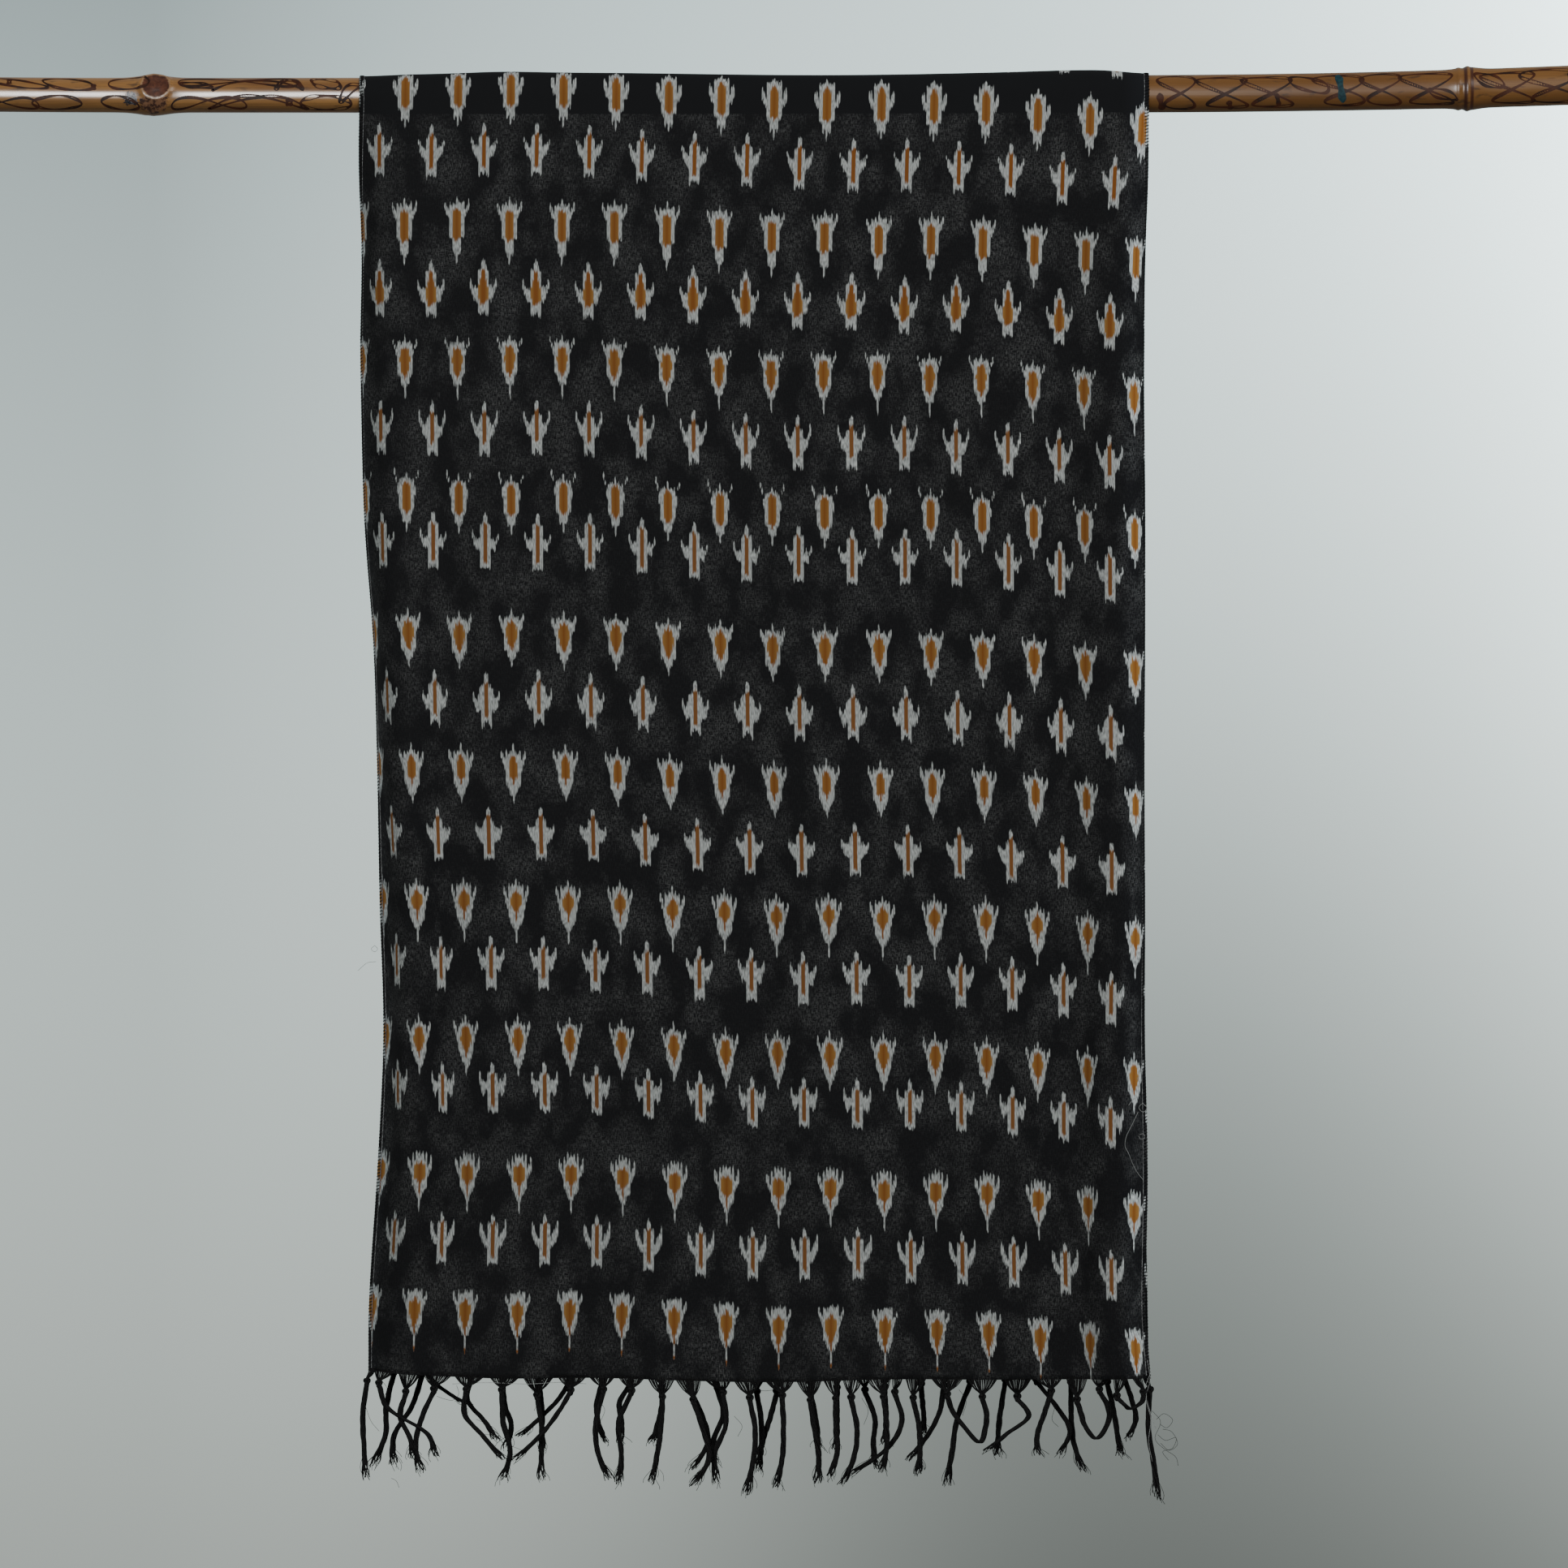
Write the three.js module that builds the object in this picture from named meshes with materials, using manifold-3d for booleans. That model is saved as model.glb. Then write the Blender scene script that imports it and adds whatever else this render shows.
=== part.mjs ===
// Ikat stole hung over a bamboo pole.
//
// One length of black warp-ikat cotton is folded over a level pole, so that its front fall and its back fall hang
// side by side, a pole's thickness apart. The warp ends of both hems are gathered into fans and knotted into cords.
// The cloth is built as a wall in three stretches, and each hem has a narrow strip that its tassels grow from.
//
// Millimetres, +Z up. The origin is on the pole's axis at the stole's centre line, and the front faces -Y.
// "Across" is measured in the flat cloth from its centre line, to the right. "Drop" is measured down from the pole.

import * as THREE from "three";
import { mergeVertices } from "three/addons/utils/BufferGeometryUtils.js";
import Module from "manifold-3d";

// ---------------------------------------------------------------------------------------------------------------
// Driving dimensions
// ---------------------------------------------------------------------------------------------------------------

const CLOTH_WIDTH = 575;
const CLOTH_WALL = 1.2;
const SEAM_GAP = 0.3;
const POLE_CLEARANCE = 0.5;
const FALL_START = 0.5;
const FRONT_DROP = 912;
const BACK_DROP = 905;

// The cut isn't straight: near the pole both long edges are cut in by this much, over this length of cloth.
const LEFT_CUT_IN = 8;
const RIGHT_CUT_IN = 6.5;
const CUT_IN_LENGTH = 70;

const POLE_LEFT_END = -580;
const POLE_RIGHT_END = 640;
const POLE_SIDES = 18;
const POLE_STEP = 61;

const STRIP_HEIGHT = 3;
const FAN_WALL = 0.9;
const CORD_RADIUS = 2;
const KNOT_RADIUS = 2.7;
const LANE_WIDTH = 5;
const TIP_FLATTEN = 0.65;
const CORD_STEPS = 4;

// Vertices of a joined piece that are closer than this become one.
const MERGE_TOLERANCE = 0.02;

const CREST_STEPS = 12;

// The pole's own line: at x, the height of its axis and its radius between the nodes.
const POLE_LINE = tableOf(
  ["x", "axis", "radius"],
  [
    [-580, -0.2, 12.1],
    [-467, -1.1, 12.2],
    [-300, -0.9, 12.2],
    [0, 0, 12.7],
    [290, 0.6, 13.3],
    [400, 1.4, 13.4],
    [501, 3.6, 14.0],
    [570, 6.0, 14.3],
    [640, 8.6, 14.5],
  ],
);

// The bamboo's nodes: a ring that rises over the culm, with its reach along the pole.
const POLE_NODES = tableOf(
  ["x", "rise", "reach"],
  [
    [-427, 2.2, 13],
    [-179, 1.0, 14],
    [228, 1.2, 14],
    [501, 1.8, 8],
  ],
);

// How each fall hangs at a drop. Sway moves its centre line to the right, and draw_in narrows it. The other columns
// are slopes in degrees: soft waves all across, a ridge beside each long edge, and the edge's own turn behind it.
const FOLD_COLUMNS = [
  "drop", "sway", "draw_in", "wave", "left_ridge", "left_roll", "right_ridge", "right_roll",
];

const FRONT_FOLDS = tableOf(FOLD_COLUMNS, [
  [0, -0.6, 0, 0, 0, 0, 0, 0],
  [95, -2.3, 0.002, 5, 5, 62, 16, 50],
  [190, -2.9, 0.004, 8, 8, 64, 18, 50],
  [290, -2.0, 0.005, 8, 10, 66, 20, 45],
  [385, -1.7, 0.005, 8, 28, 66, 20, 48],
  [480, -0.6, 0.006, 8, 36, 60, 22, 55],
  [575, 1.0, 0.008, 8, 46, 42, 27, 48],
  [673, 1.9, 0.010, 8, 46, 46, 34, 32],
  [768, 2.5, 0.013, 7, 42, 32, 36, 0],
  [863, 2.5, 0.007, 6, 28, 38, 42, 20],
  [912, 2.5, 0.004, 6, 15, 30, 38, 0],
]);

const BACK_FOLDS = tableOf(FOLD_COLUMNS, [
  [0, -0.6, 0, 0, 0, 0, 0, 0],
  [95, -1.6, 0.008, 6, 34, 14, 26, 20],
  [250, -1.2, 0.011, 9, 44, 16, 36, 26],
  [450, 1.6, 0.012, 9, 50, 18, 42, 26],
  [650, 3.0, 0.014, 8, 54, 18, 44, 24],
  [800, 3.4, 0.012, 7, 48, 16, 42, 20],
  [905, 3.0, 0.010, 6, 38, 14, 38, 16],
]);

// Reach, from the long edge, of its ridge and of its turn.
const LEFT_RIDGE_REACH = 76;
const RIGHT_RIDGE_REACH = 60;
const LEFT_ROLL_REACH = 42;
const RIGHT_ROLL_REACH = 18;

// Creases that the hand feels as single soft troughs (rise below 0) or ridges, each along a line on the cloth.
const CREASE_COLUMNS = ["top_across", "top_drop", "foot_across", "foot_drop", "wide", "rise"];

const FRONT_CREASES = tableOf(CREASE_COLUMNS, [
  [14, 250, 9, 820, 10, -3],
  [-138, 415, -88, 540, 9, 2],
]);

const BACK_CREASES = tableOf(CREASE_COLUMNS, [
  [-70, 160, -46, 720, 14, -3],
  [118, 260, 100, 830, 16, 3],
]);

// The hems' drop, at places across the cloth.
const FRONT_HEM = tableOf(
  ["across", "drop"],
  [
    [-288, 906],
    [-190, 911],
    [-110, 911],
    [0, 914],
    [90, 912],
    [200, 912],
    [288, 911],
  ],
);

const BACK_HEM = tableOf(
  ["across", "drop"],
  [
    [-288, 902],
    [-120, 905],
    [60, 907],
    [288, 904],
  ],
);

// A tassel's fan is centred at x = fan and is this wide at the hem. Its knot is at x = knot, neck below the hem. The
// cord swings through x = upper and x = lower to x = tip, long below the hem. Lane 1 is one lane nearer the viewer.
const TASSEL_COLUMNS = ["fan", "wide", "knot", "neck", "upper", "lower", "tip", "long", "lane"];

const FRONT_TASSELS = tableOf(TASSEL_COLUMNS, [
  [-274, 7, -275, 5, -278, -277, -276, 78, 0],
  [-262, 15, -266, 7, -259, -232, -226, 60, 1],
  [-244, 16, -247, 12, -251, -244, -241, 61, -1],
  [-224, 20, -227, 9, -236, -240, -236, 69, 0],
  [-202, 22, -204, 8, -205, -191, -177, 59, 1],
  [-177, 22, -179, 8, -178, -173, -179, 73, 0],
  [-153, 22, -154, 12, -151, -151, -151, 73, -1],
  [-129, 21, -130, 8, -140, -153, -171, 58, 2],
  [-108, 19, -107, 8, -112, -111, -102, 73, 0],
  [-87, 19, -87, 8, -96, -94, -96, 75, 1],
  [-66, 19, -65, 12, -66, -69, -73, 75, 0],
  [-47, 18, -43, 13, -36, -32, -44, 75, 1],
  [-26, 19, -22, 8, -20, -28, -27, 73, -1],
  [-5, 19, -3, 11, 1, -1, -6, 81, 0],
  [18, 21, 20, 9, 21, 20, 15, 76, 1],
  [39, 18, 40, 13, 43, 46, 44, 74, 0],
  [55, 12, 58, 12, 58, 59, 53, 69, 1],
  [70, 14, 69, 12, 73, 71, 62, 75, 0],
  [88, 18, 92, 12, 94, 94, 91, 66, 1],
  [102, 7, 100, 9, 105, 95, 68, 68, -1],
  [115, 15, 113, 13, 117, 118, 116, 69, 0],
  [137, 23, 137, 10, 141, 149, 158, 44, 1],
  [162, 22, 162, 12, 165, 164, 162, 45, 0],
  [187, 20, 187, 12, 195, 179, 164, 52, -1],
  [209, 20, 211, 8, 206, 201, 202, 55, 0],
  [229, 15, 229, 14, 232, 235, 241, 42, 1],
  [246, 14, 245, 7, 251, 251, 245, 42, -1],
  [260, 10, 257, 11, 260, 263, 266, 21, 1],
  [271, 7, 276, 9, 276, 274, 268, 21, 0],
  [278, 5, 281, 8, 280, 284, 287, 87, -1],
]);

const BACK_TASSELS = tableOf(TASSEL_COLUMNS, [
  [-256, 14, -257, 7, -262, -263, -273, 74, 1],
  [-238, 15, -237, 7, -244, -257, -257, 73, 0],
  [-222, 12, -232, 7, -226, -217, -207, 28, -1],
  [-201, 21, -202, 9, -203, -198, -191, 54, 1],
  [-177, 21, -179, 9, -177, -174, -176, 60, 0],
  [-153, 21, -153, 12, -151, -151, -151, 60, 1],
  [-130, 20, -131, 9, -138, -143, -152, 45, -1],
  [-108, 20, -108, 9, -111, -112, -111, 54, 0],
  [-87, 20, -88, 9, -94, -95, -94, 54, 1],
  [-67, 17, -66, 13, -66, -67, -70, 54, 0],
  [-48, 16, -50, 9, -48, -45, -50, 80, 1],
  [-31, 16, -28, 11, -31, -31, -32, 75, 0],
  [2, 16, 2, 15, 5, 5, 3, 73, 1],
  [20, 15, 16, 15, 12, 7, 3, 63, -1],
  [41, 20, 40, 13, 43, 45, 46, 57, 0],
  [59, 12, 59, 12, 59, 59, 58, 57, 1],
  [77, 15, 79, 14, 86, 85, 87, 71, 0],
  [94, 14, 93, 12, 94, 94, 93, 54, -1],
  [119, 19, 119, 10, 120, 120, 120, 33, 0],
  [138, 15, 135, 11, 132, 123, 109, 65, 1],
  [156, 18, 154, 9, 145, 141, 137, 84, -1],
  [179, 20, 179, 8, 176, 174, 173, 63, 0],
  [200, 19, 201, 8, 215, 225, 217, 62, 1],
  [225, 20, 226, 11, 226, 228, 235, 75, -1],
  [246, 16, 252, 11, 256, 259, 262, 65, 0],
  [263, 9, 264, 8, 269, 272, 266, 52, 1],
]);

const FRONT = {
  side: -1,
  drop: FRONT_DROP,
  folds: FRONT_FOLDS,
  creases: FRONT_CREASES,
  hem: FRONT_HEM,
  tassels: FRONT_TASSELS,
  acrossSteps: 32,
  dropSteps: 17,
  wavePeriod: 118,
  wavePhase: 0.6,
};

const BACK = {
  side: 1,
  drop: BACK_DROP,
  folds: BACK_FOLDS,
  creases: BACK_CREASES,
  hem: BACK_HEM,
  tassels: BACK_TASSELS,
  acrossSteps: 26,
  dropSteps: 13,
  wavePeriod: 131,
  wavePhase: -0.5,
};

// ---------------------------------------------------------------------------------------------------------------
// Materials
// ---------------------------------------------------------------------------------------------------------------

const CLOTH_MATERIAL = new THREE.MeshStandardMaterial({ color: 0x1b1c20, roughness: 0.85, metalness: 0 });
const BACK_CLOTH_MATERIAL = new THREE.MeshStandardMaterial({ color: 0x222328, roughness: 0.85, metalness: 0 });
const CREST_MATERIAL = new THREE.MeshStandardMaterial({ color: 0x15161a, roughness: 0.85, metalness: 0 });
const FRINGE_MATERIAL = new THREE.MeshStandardMaterial({ color: 0x17171a, roughness: 0.8, metalness: 0 });
const BACK_FRINGE_MATERIAL = new THREE.MeshStandardMaterial({ color: 0x1d1d21, roughness: 0.8, metalness: 0 });
const BAMBOO_MATERIAL = new THREE.MeshStandardMaterial({ color: 0xb8854a, roughness: 0.35, metalness: 0 });

// ---------------------------------------------------------------------------------------------------------------
// Tables and small sums
// ---------------------------------------------------------------------------------------------------------------

// Gives each row of a table the names of its columns.
function tableOf(columns, rows) {
  return rows.map((row) => Object.fromEntries(columns.map((name, k) => [name, row[k]])));
}

function mix(a, b, t) {
  return a + (b - a) * t;
}

function radians(degrees) {
  return THREE.MathUtils.degToRad(degrees);
}

// The slope that a smooth curve through a table's column has at row k.
function slopeAtRow(rows, by, column, k) {
  const before = rows[Math.max(k - 1, 0)];
  const after = rows[Math.min(k + 1, rows.length - 1)];
  return (after[column] - before[column]) / (after[by] - before[by]);
}

// The value of a table's column at a place between its rows, on a smooth curve (a cubic Hermite spline).
function lookUp(rows, by, at, column) {
  const place = THREE.MathUtils.clamp(at, rows[0][by], rows[rows.length - 1][by]);
  let k = 0;
  while (k < rows.length - 2 && rows[k + 1][by] < place) {
    k += 1;
  }
  const step = rows[k + 1][by] - rows[k][by];
  const t = (place - rows[k][by]) / step;
  const start = (1 + 2 * t) * (1 - t) ** 2 * rows[k][column];
  const end = t * t * (3 - 2 * t) * rows[k + 1][column];
  const startSlope = t * (1 - t) ** 2 * step * slopeAtRow(rows, by, column, k);
  const endSlope = t * t * (t - 1) * step * slopeAtRow(rows, by, column, k + 1);
  return start + end + startSlope + endSlope;
}

// ---------------------------------------------------------------------------------------------------------------
// The pole
// ---------------------------------------------------------------------------------------------------------------

function poleAxis(x) {
  return lookUp(POLE_LINE, "x", x, "axis");
}

// The rise of all nodes at x, each a bell of its own reach. Widen makes the bells longer.
function nodeRise(x, widen) {
  let rise = 0;
  for (const node of POLE_NODES) {
    rise += node.rise * Math.exp(-(((x - node.x) / (node.reach * widen)) ** 2));
  }
  return rise;
}

function poleRadius(x) {
  return lookUp(POLE_LINE, "x", x, "radius") + nodeRise(x, 1);
}

// Radius of the cloth's middle where it lies on the pole. It bridges the nodes over a longer stretch than they have.
function clothRadius(x) {
  return lookUp(POLE_LINE, "x", x, "radius") + nodeRise(x, 2.2) + POLE_CLEARANCE + CLOTH_WALL / 2;
}

// Sections stand at even steps, and closer over each node.
function poleStations() {
  const stations = new Set();
  const count = Math.round((POLE_RIGHT_END - POLE_LEFT_END) / POLE_STEP);
  for (let k = 0; k <= count; k += 1) {
    stations.add(mix(POLE_LEFT_END, POLE_RIGHT_END, k / count));
  }
  for (const node of POLE_NODES) {
    for (const t of [-1.6, -0.7, 0, 0.7, 1.6]) {
      stations.add(node.x + t * node.reach);
    }
  }
  return [...stations].sort((a, b) => a - b);
}

function poleGeometry() {
  const positions = [];
  const faces = [];
  const stations = poleStations();
  for (const x of stations) {
    for (let k = 0; k < POLE_SIDES; k += 1) {
      const angle = (2 * Math.PI * k) / POLE_SIDES;
      const y = poleRadius(x) * Math.sin(angle);
      const z = poleAxis(x) + poleRadius(x) * Math.cos(angle);
      positions.push(x, y, z);
    }
  }
  const last = (stations.length - 1) * POLE_SIDES;
  for (let start = 0; start < last; start += POLE_SIDES) {
    for (let k = 0; k < POLE_SIDES; k += 1) {
      const next = (k + 1) % POLE_SIDES;
      faces.push(start + k, start + POLE_SIDES + k, start + POLE_SIDES + next);
      faces.push(start + k, start + POLE_SIDES + next, start + next);
    }
  }
  for (let k = 1; k < POLE_SIDES - 1; k += 1) {
    faces.push(0, k, k + 1);
    faces.push(last, last + k + 1, last + k);
  }
  return geometryOf(positions, faces);
}

// ---------------------------------------------------------------------------------------------------------------
// The cloth's middle surface
// ---------------------------------------------------------------------------------------------------------------

// The flat cloth's long edges at a drop: [left, right], across from the centre line.
function cutEdges(drop) {
  const nearPole = Math.exp(-((drop / CUT_IN_LENGTH) ** 2));
  return [-CLOTH_WIDTH / 2 + LEFT_CUT_IN * nearPole, CLOTH_WIDTH / 2 - RIGHT_CUT_IN * nearPole];
}

// The angle, in radians, that the cloth climbs away from the pole as it is followed outwards from its centre line.
// A ridge climbs and falls again by one turn of a sine. A roll eases in and falls all the way to the edge.
function climb(fall, drop, across, fromEdge) {
  const onLeft = across < 0;
  const fold = (column) => lookUp(fall.folds, "drop", drop, column);
  const ridgeReach = onLeft ? LEFT_RIDGE_REACH : RIGHT_RIDGE_REACH;
  const rollReach = onLeft ? LEFT_ROLL_REACH : RIGHT_ROLL_REACH;
  const ridge = fold(onLeft ? "left_ridge" : "right_ridge");
  const roll = fold(onLeft ? "left_roll" : "right_roll");
  const waveTurn = (2 * Math.PI * across) / fall.wavePeriod + fall.wavePhase;
  let angle = (onLeft ? -1 : 1) * fold("wave") * Math.sin(waveTurn);
  if (fromEdge < ridgeReach) {
    angle += ridge * Math.sin(2 * Math.PI * (1 - fromEdge / ridgeReach));
  }
  angle -= roll * THREE.MathUtils.smoothstep(1 - fromEdge / rollReach, 0, 1);
  return radians(angle);
}

// How far the single creases lift the cloth at a place.
function creaseRise(fall, across, drop) {
  let rise = 0;
  for (const crease of fall.creases) {
    const lineX = crease.foot_across - crease.top_across;
    const lineZ = crease.foot_drop - crease.top_drop;
    const length = Math.hypot(lineX, lineZ);
    const dx = across - crease.top_across;
    const dz = drop - crease.top_drop;
    const along = (dx * lineX + dz * lineZ) / length ** 2;
    const aside = (dx * lineZ - dz * lineX) / length;
    if (along > 0 && along < 1) {
      rise += crease.rise * Math.sin(Math.PI * along) * Math.exp(-((aside / crease.wide) ** 2));
    }
  }
  return rise;
}

// Walks the cloth outwards from its centre line to one long edge and returns where it gets to, as
// { across, x, lift } at each of the steps. The walk keeps the cloth's length but for the draw-in.
function walkToEdge(fall, drop, edge, steps) {
  const fine = 6;
  const stride = edge / (steps * fine);
  const narrowed = 1 - lookUp(fall.folds, "drop", drop, "draw_in");
  const places = [];
  let x = lookUp(fall.folds, "drop", drop, "sway");
  let lift = 0;
  for (let k = 0; k <= steps * fine; k += 1) {
    const across = k * stride;
    if (k % fine === 0) {
      places.push({ across, x, lift: lift + creaseRise(fall, across, drop) });
    }
    const halfway = across + stride / 2;
    const angle = climb(fall, drop, halfway, Math.abs(edge - halfway));
    x += stride * Math.cos(angle) * narrowed;
    lift += Math.abs(stride) * Math.sin(angle);
  }
  return places;
}

// One section across a fall at a drop, from its left edge to its right edge.
function sectionAcross(fall, drop) {
  const [left, right] = cutEdges(drop);
  const leftHalf = walkToEdge(fall, drop, left, fall.acrossSteps / 2);
  const rightHalf = walkToEdge(fall, drop, right, fall.acrossSteps / 2);
  return [...leftHalf.reverse(), ...rightHalf.slice(1)];
}

// The middle surface of a fall, as rows of points from the pole down to its hem.
function fallGrid(fall) {
  const grid = [];
  for (let row = 0; row <= fall.dropSteps; row += 1) {
    const share = row / fall.dropSteps;
    const section = sectionAcross(fall, share * fall.drop);
    grid.push(
      section.map(({ across, x, lift }) => {
        const hem = lookUp(fall.hem, "across", across, "drop");
        const z = mix(poleAxis(x) - FALL_START, -hem, share);
        return new THREE.Vector3(x, fall.side * (clothRadius(x) + lift), z);
      }),
    );
  }
  return grid;
}

// The middle surface of the stretch on the pole, as rows of points from the front fall over to the back fall.
function crestGrid() {
  const section = sectionAcross(FRONT, 0);
  const grid = [];
  for (let row = 0; row <= CREST_STEPS; row += 1) {
    const angle = Math.PI * (row / CREST_STEPS - 0.5);
    grid.push(
      section.map(({ x }) => {
        const y = clothRadius(x) * Math.sin(angle);
        const z = poleAxis(x) + clothRadius(x) * Math.cos(angle);
        return new THREE.Vector3(x, y, z);
      }),
    );
  }
  return grid;
}

// ---------------------------------------------------------------------------------------------------------------
// Closed bodies from grids and sections
// ---------------------------------------------------------------------------------------------------------------

function geometryOf(positions, faces) {
  const geometry = new THREE.BufferGeometry();
  geometry.setAttribute("position", new THREE.Float32BufferAttribute(positions, 3));
  geometry.setIndex(faces);
  geometry.computeVertexNormals();
  return geometry;
}

// The grid's unit normal at a point: the direction to the next column crossed with the direction to the next row.
function gridNormal(grid, row, column) {
  const rowBefore = grid[Math.max(row - 1, 0)][column];
  const rowAfter = grid[Math.min(row + 1, grid.length - 1)][column];
  const columnBefore = grid[row][Math.max(column - 1, 0)];
  const columnAfter = grid[row][Math.min(column + 1, grid[row].length - 1)];
  const down = rowAfter.clone().sub(rowBefore);
  const over = columnAfter.clone().sub(columnBefore);
  return over.cross(down).normalize();
}

// A wall of even thickness around a grid of points: a skin on each side of it and a rim round its four edges.
function wallGeometry(grid, thickness) {
  const rows = grid.length;
  const columns = grid[0].length;
  const positions = [];
  const faces = [];
  for (const sideways of [0.5, -0.5]) {
    for (let row = 0; row < rows; row += 1) {
      for (let column = 0; column < columns; column += 1) {
        const offset = gridNormal(grid, row, column).multiplyScalar(sideways * thickness);
        const point = grid[row][column].clone().add(offset);
        positions.push(point.x, point.y, point.z);
      }
    }
  }
  const upper = (row, column) => row * columns + column;
  const lower = (row, column) => rows * columns + row * columns + column;
  const quad = (a, b, c, d) => faces.push(a, b, c, a, c, d);
  for (let row = 0; row < rows - 1; row += 1) {
    for (let column = 0; column < columns - 1; column += 1) {
      const right = column + 1;
      const below = row + 1;
      quad(upper(row, column), upper(row, right), upper(below, right), upper(below, column));
      quad(lower(row, column), lower(below, column), lower(below, right), lower(row, right));
    }
  }
  const lastRow = rows - 1;
  const lastColumn = columns - 1;
  for (let column = 0; column < lastColumn; column += 1) {
    const right = column + 1;
    quad(upper(0, column), lower(0, column), lower(0, right), upper(0, right));
    quad(upper(lastRow, column), upper(lastRow, right), lower(lastRow, right), lower(lastRow, column));
  }
  for (let row = 0; row < lastRow; row += 1) {
    const below = row + 1;
    quad(upper(row, 0), upper(below, 0), lower(below, 0), lower(row, 0));
    quad(upper(row, lastColumn), lower(row, lastColumn), lower(below, lastColumn), upper(below, lastColumn));
  }
  return geometryOf(positions, faces);
}

// A four-sided closed body through sections that follow each other downwards. Each section is four corners, which go
// round anticlockwise seen from above.
function loftGeometry(sections) {
  const positions = sections.flat().flatMap((corner) => [corner.x, corner.y, corner.z]);
  const faces = [0, 1, 2, 0, 2, 3];
  const last = (sections.length - 1) * 4;
  for (let start = 0; start < last; start += 4) {
    for (let k = 0; k < 4; k += 1) {
      const next = (k + 1) % 4;
      faces.push(start + k, start + 4 + k, start + 4 + next);
      faces.push(start + k, start + 4 + next, start + next);
    }
  }
  faces.push(last, last + 2, last + 1, last, last + 3, last + 2);
  return geometryOf(positions, faces);
}

// The four corners of a level section that runs from one point to another and has a depth.
function levelSection(fromLeft, toRight, depth) {
  const half = depth / 2;
  return [
    new THREE.Vector3(toRight.x, toRight.y + half, toRight.z),
    new THREE.Vector3(fromLeft.x, fromLeft.y + half, fromLeft.z),
    new THREE.Vector3(fromLeft.x, fromLeft.y - half, fromLeft.z),
    new THREE.Vector3(toRight.x, toRight.y - half, toRight.z),
  ];
}

function blockSection(centre, halfWidth, halfDepth) {
  const left = new THREE.Vector3(centre.x - halfWidth, centre.y, centre.z);
  const right = new THREE.Vector3(centre.x + halfWidth, centre.y, centre.z);
  return levelSection(left, right, 2 * halfDepth);
}

// ---------------------------------------------------------------------------------------------------------------
// Fringes
// ---------------------------------------------------------------------------------------------------------------

// The point on the hem's line at x, worked out from the fall's lowest row of points.
function hemPoint(hemRow, x) {
  let k = 0;
  while (k < hemRow.length - 2 && hemRow[k + 1].x < x) {
    k += 1;
  }
  const share = THREE.MathUtils.clamp((x - hemRow[k].x) / (hemRow[k + 1].x - hemRow[k].x), 0, 1);
  return hemRow[k].clone().lerp(hemRow[k + 1], share);
}

// A tassel: a fan that starts inside the strip, a knot under it and a cord that swings down to a flat, frayed tip.
function tasselGeometry(fall, hemRow, tassel) {
  const root = hemPoint(hemRow, tassel.fan);
  const below = (drop) => root.z - drop;
  const lane = root.y - LANE_WIDTH * tassel.lane;
  const rootDepth = SEAM_GAP + STRIP_HEIGHT / 2;
  const left = hemPoint(hemRow, tassel.fan - tassel.wide / 2);
  const right = hemPoint(hemRow, tassel.fan + tassel.wide / 2);
  left.z = below(rootDepth);
  right.z = below(rootDepth);
  const gather = new THREE.Vector3(mix(tassel.fan, tassel.knot, 0.5), mix(root.y, lane, 0.3), 0);
  gather.z = below(mix(rootDepth, tassel.neck, 0.5));
  const neck = new THREE.Vector3(tassel.knot, mix(root.y, lane, 0.8), below(tassel.neck - 2));
  const knotTop = new THREE.Vector3(tassel.knot, lane, below(tassel.neck - 0.8));
  const knotFoot = new THREE.Vector3(tassel.knot, lane, below(tassel.neck + 2));
  const cordTop = tassel.neck + 3;
  const route = new THREE.CatmullRomCurve3([
    new THREE.Vector3(tassel.knot, lane, below(cordTop)),
    new THREE.Vector3(tassel.upper, lane, below(mix(cordTop, tassel.long, 1 / 3))),
    new THREE.Vector3(tassel.lower, lane, below(mix(cordTop, tassel.long, 2 / 3))),
    new THREE.Vector3(tassel.tip, lane, below(tassel.long)),
  ]);
  const sections = [
    levelSection(left, right, FAN_WALL),
    blockSection(gather, 0.62 * (tassel.wide / 2), FAN_WALL / 2),
    blockSection(neck, 1.6, 1.4),
    blockSection(knotTop, KNOT_RADIUS, KNOT_RADIUS - 0.2),
    blockSection(knotFoot, KNOT_RADIUS, KNOT_RADIUS - 0.2),
  ];
  for (let k = 0; k <= CORD_STEPS; k += 1) {
    const centre = route.getPoint(k / CORD_STEPS);
    const heading = route.getTangent(k / CORD_STEPS);
    const slantWidth = CORD_RADIUS / Math.max(Math.abs(heading.z), 0.55);
    const flatten = k === CORD_STEPS ? TIP_FLATTEN : 1;
    sections.push(blockSection(centre, slantWidth / flatten ** 0.5, CORD_RADIUS * flatten));
  }
  return loftGeometry(sections);
}

const wasm = await Module();
wasm.setup();

// A closed three.js mesh as a manifold-3d solid.
function solidOf(geometry) {
  const bare = geometry.clone();
  bare.deleteAttribute("normal");
  const merged = mergeVertices(bare, 1e-4);
  const vertProperties = new Float32Array(merged.attributes.position.array);
  const triVerts = new Uint32Array(merged.index.array);
  return new wasm.Manifold(new wasm.Mesh({ numProp: 3, vertProperties, triVerts }));
}

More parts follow.
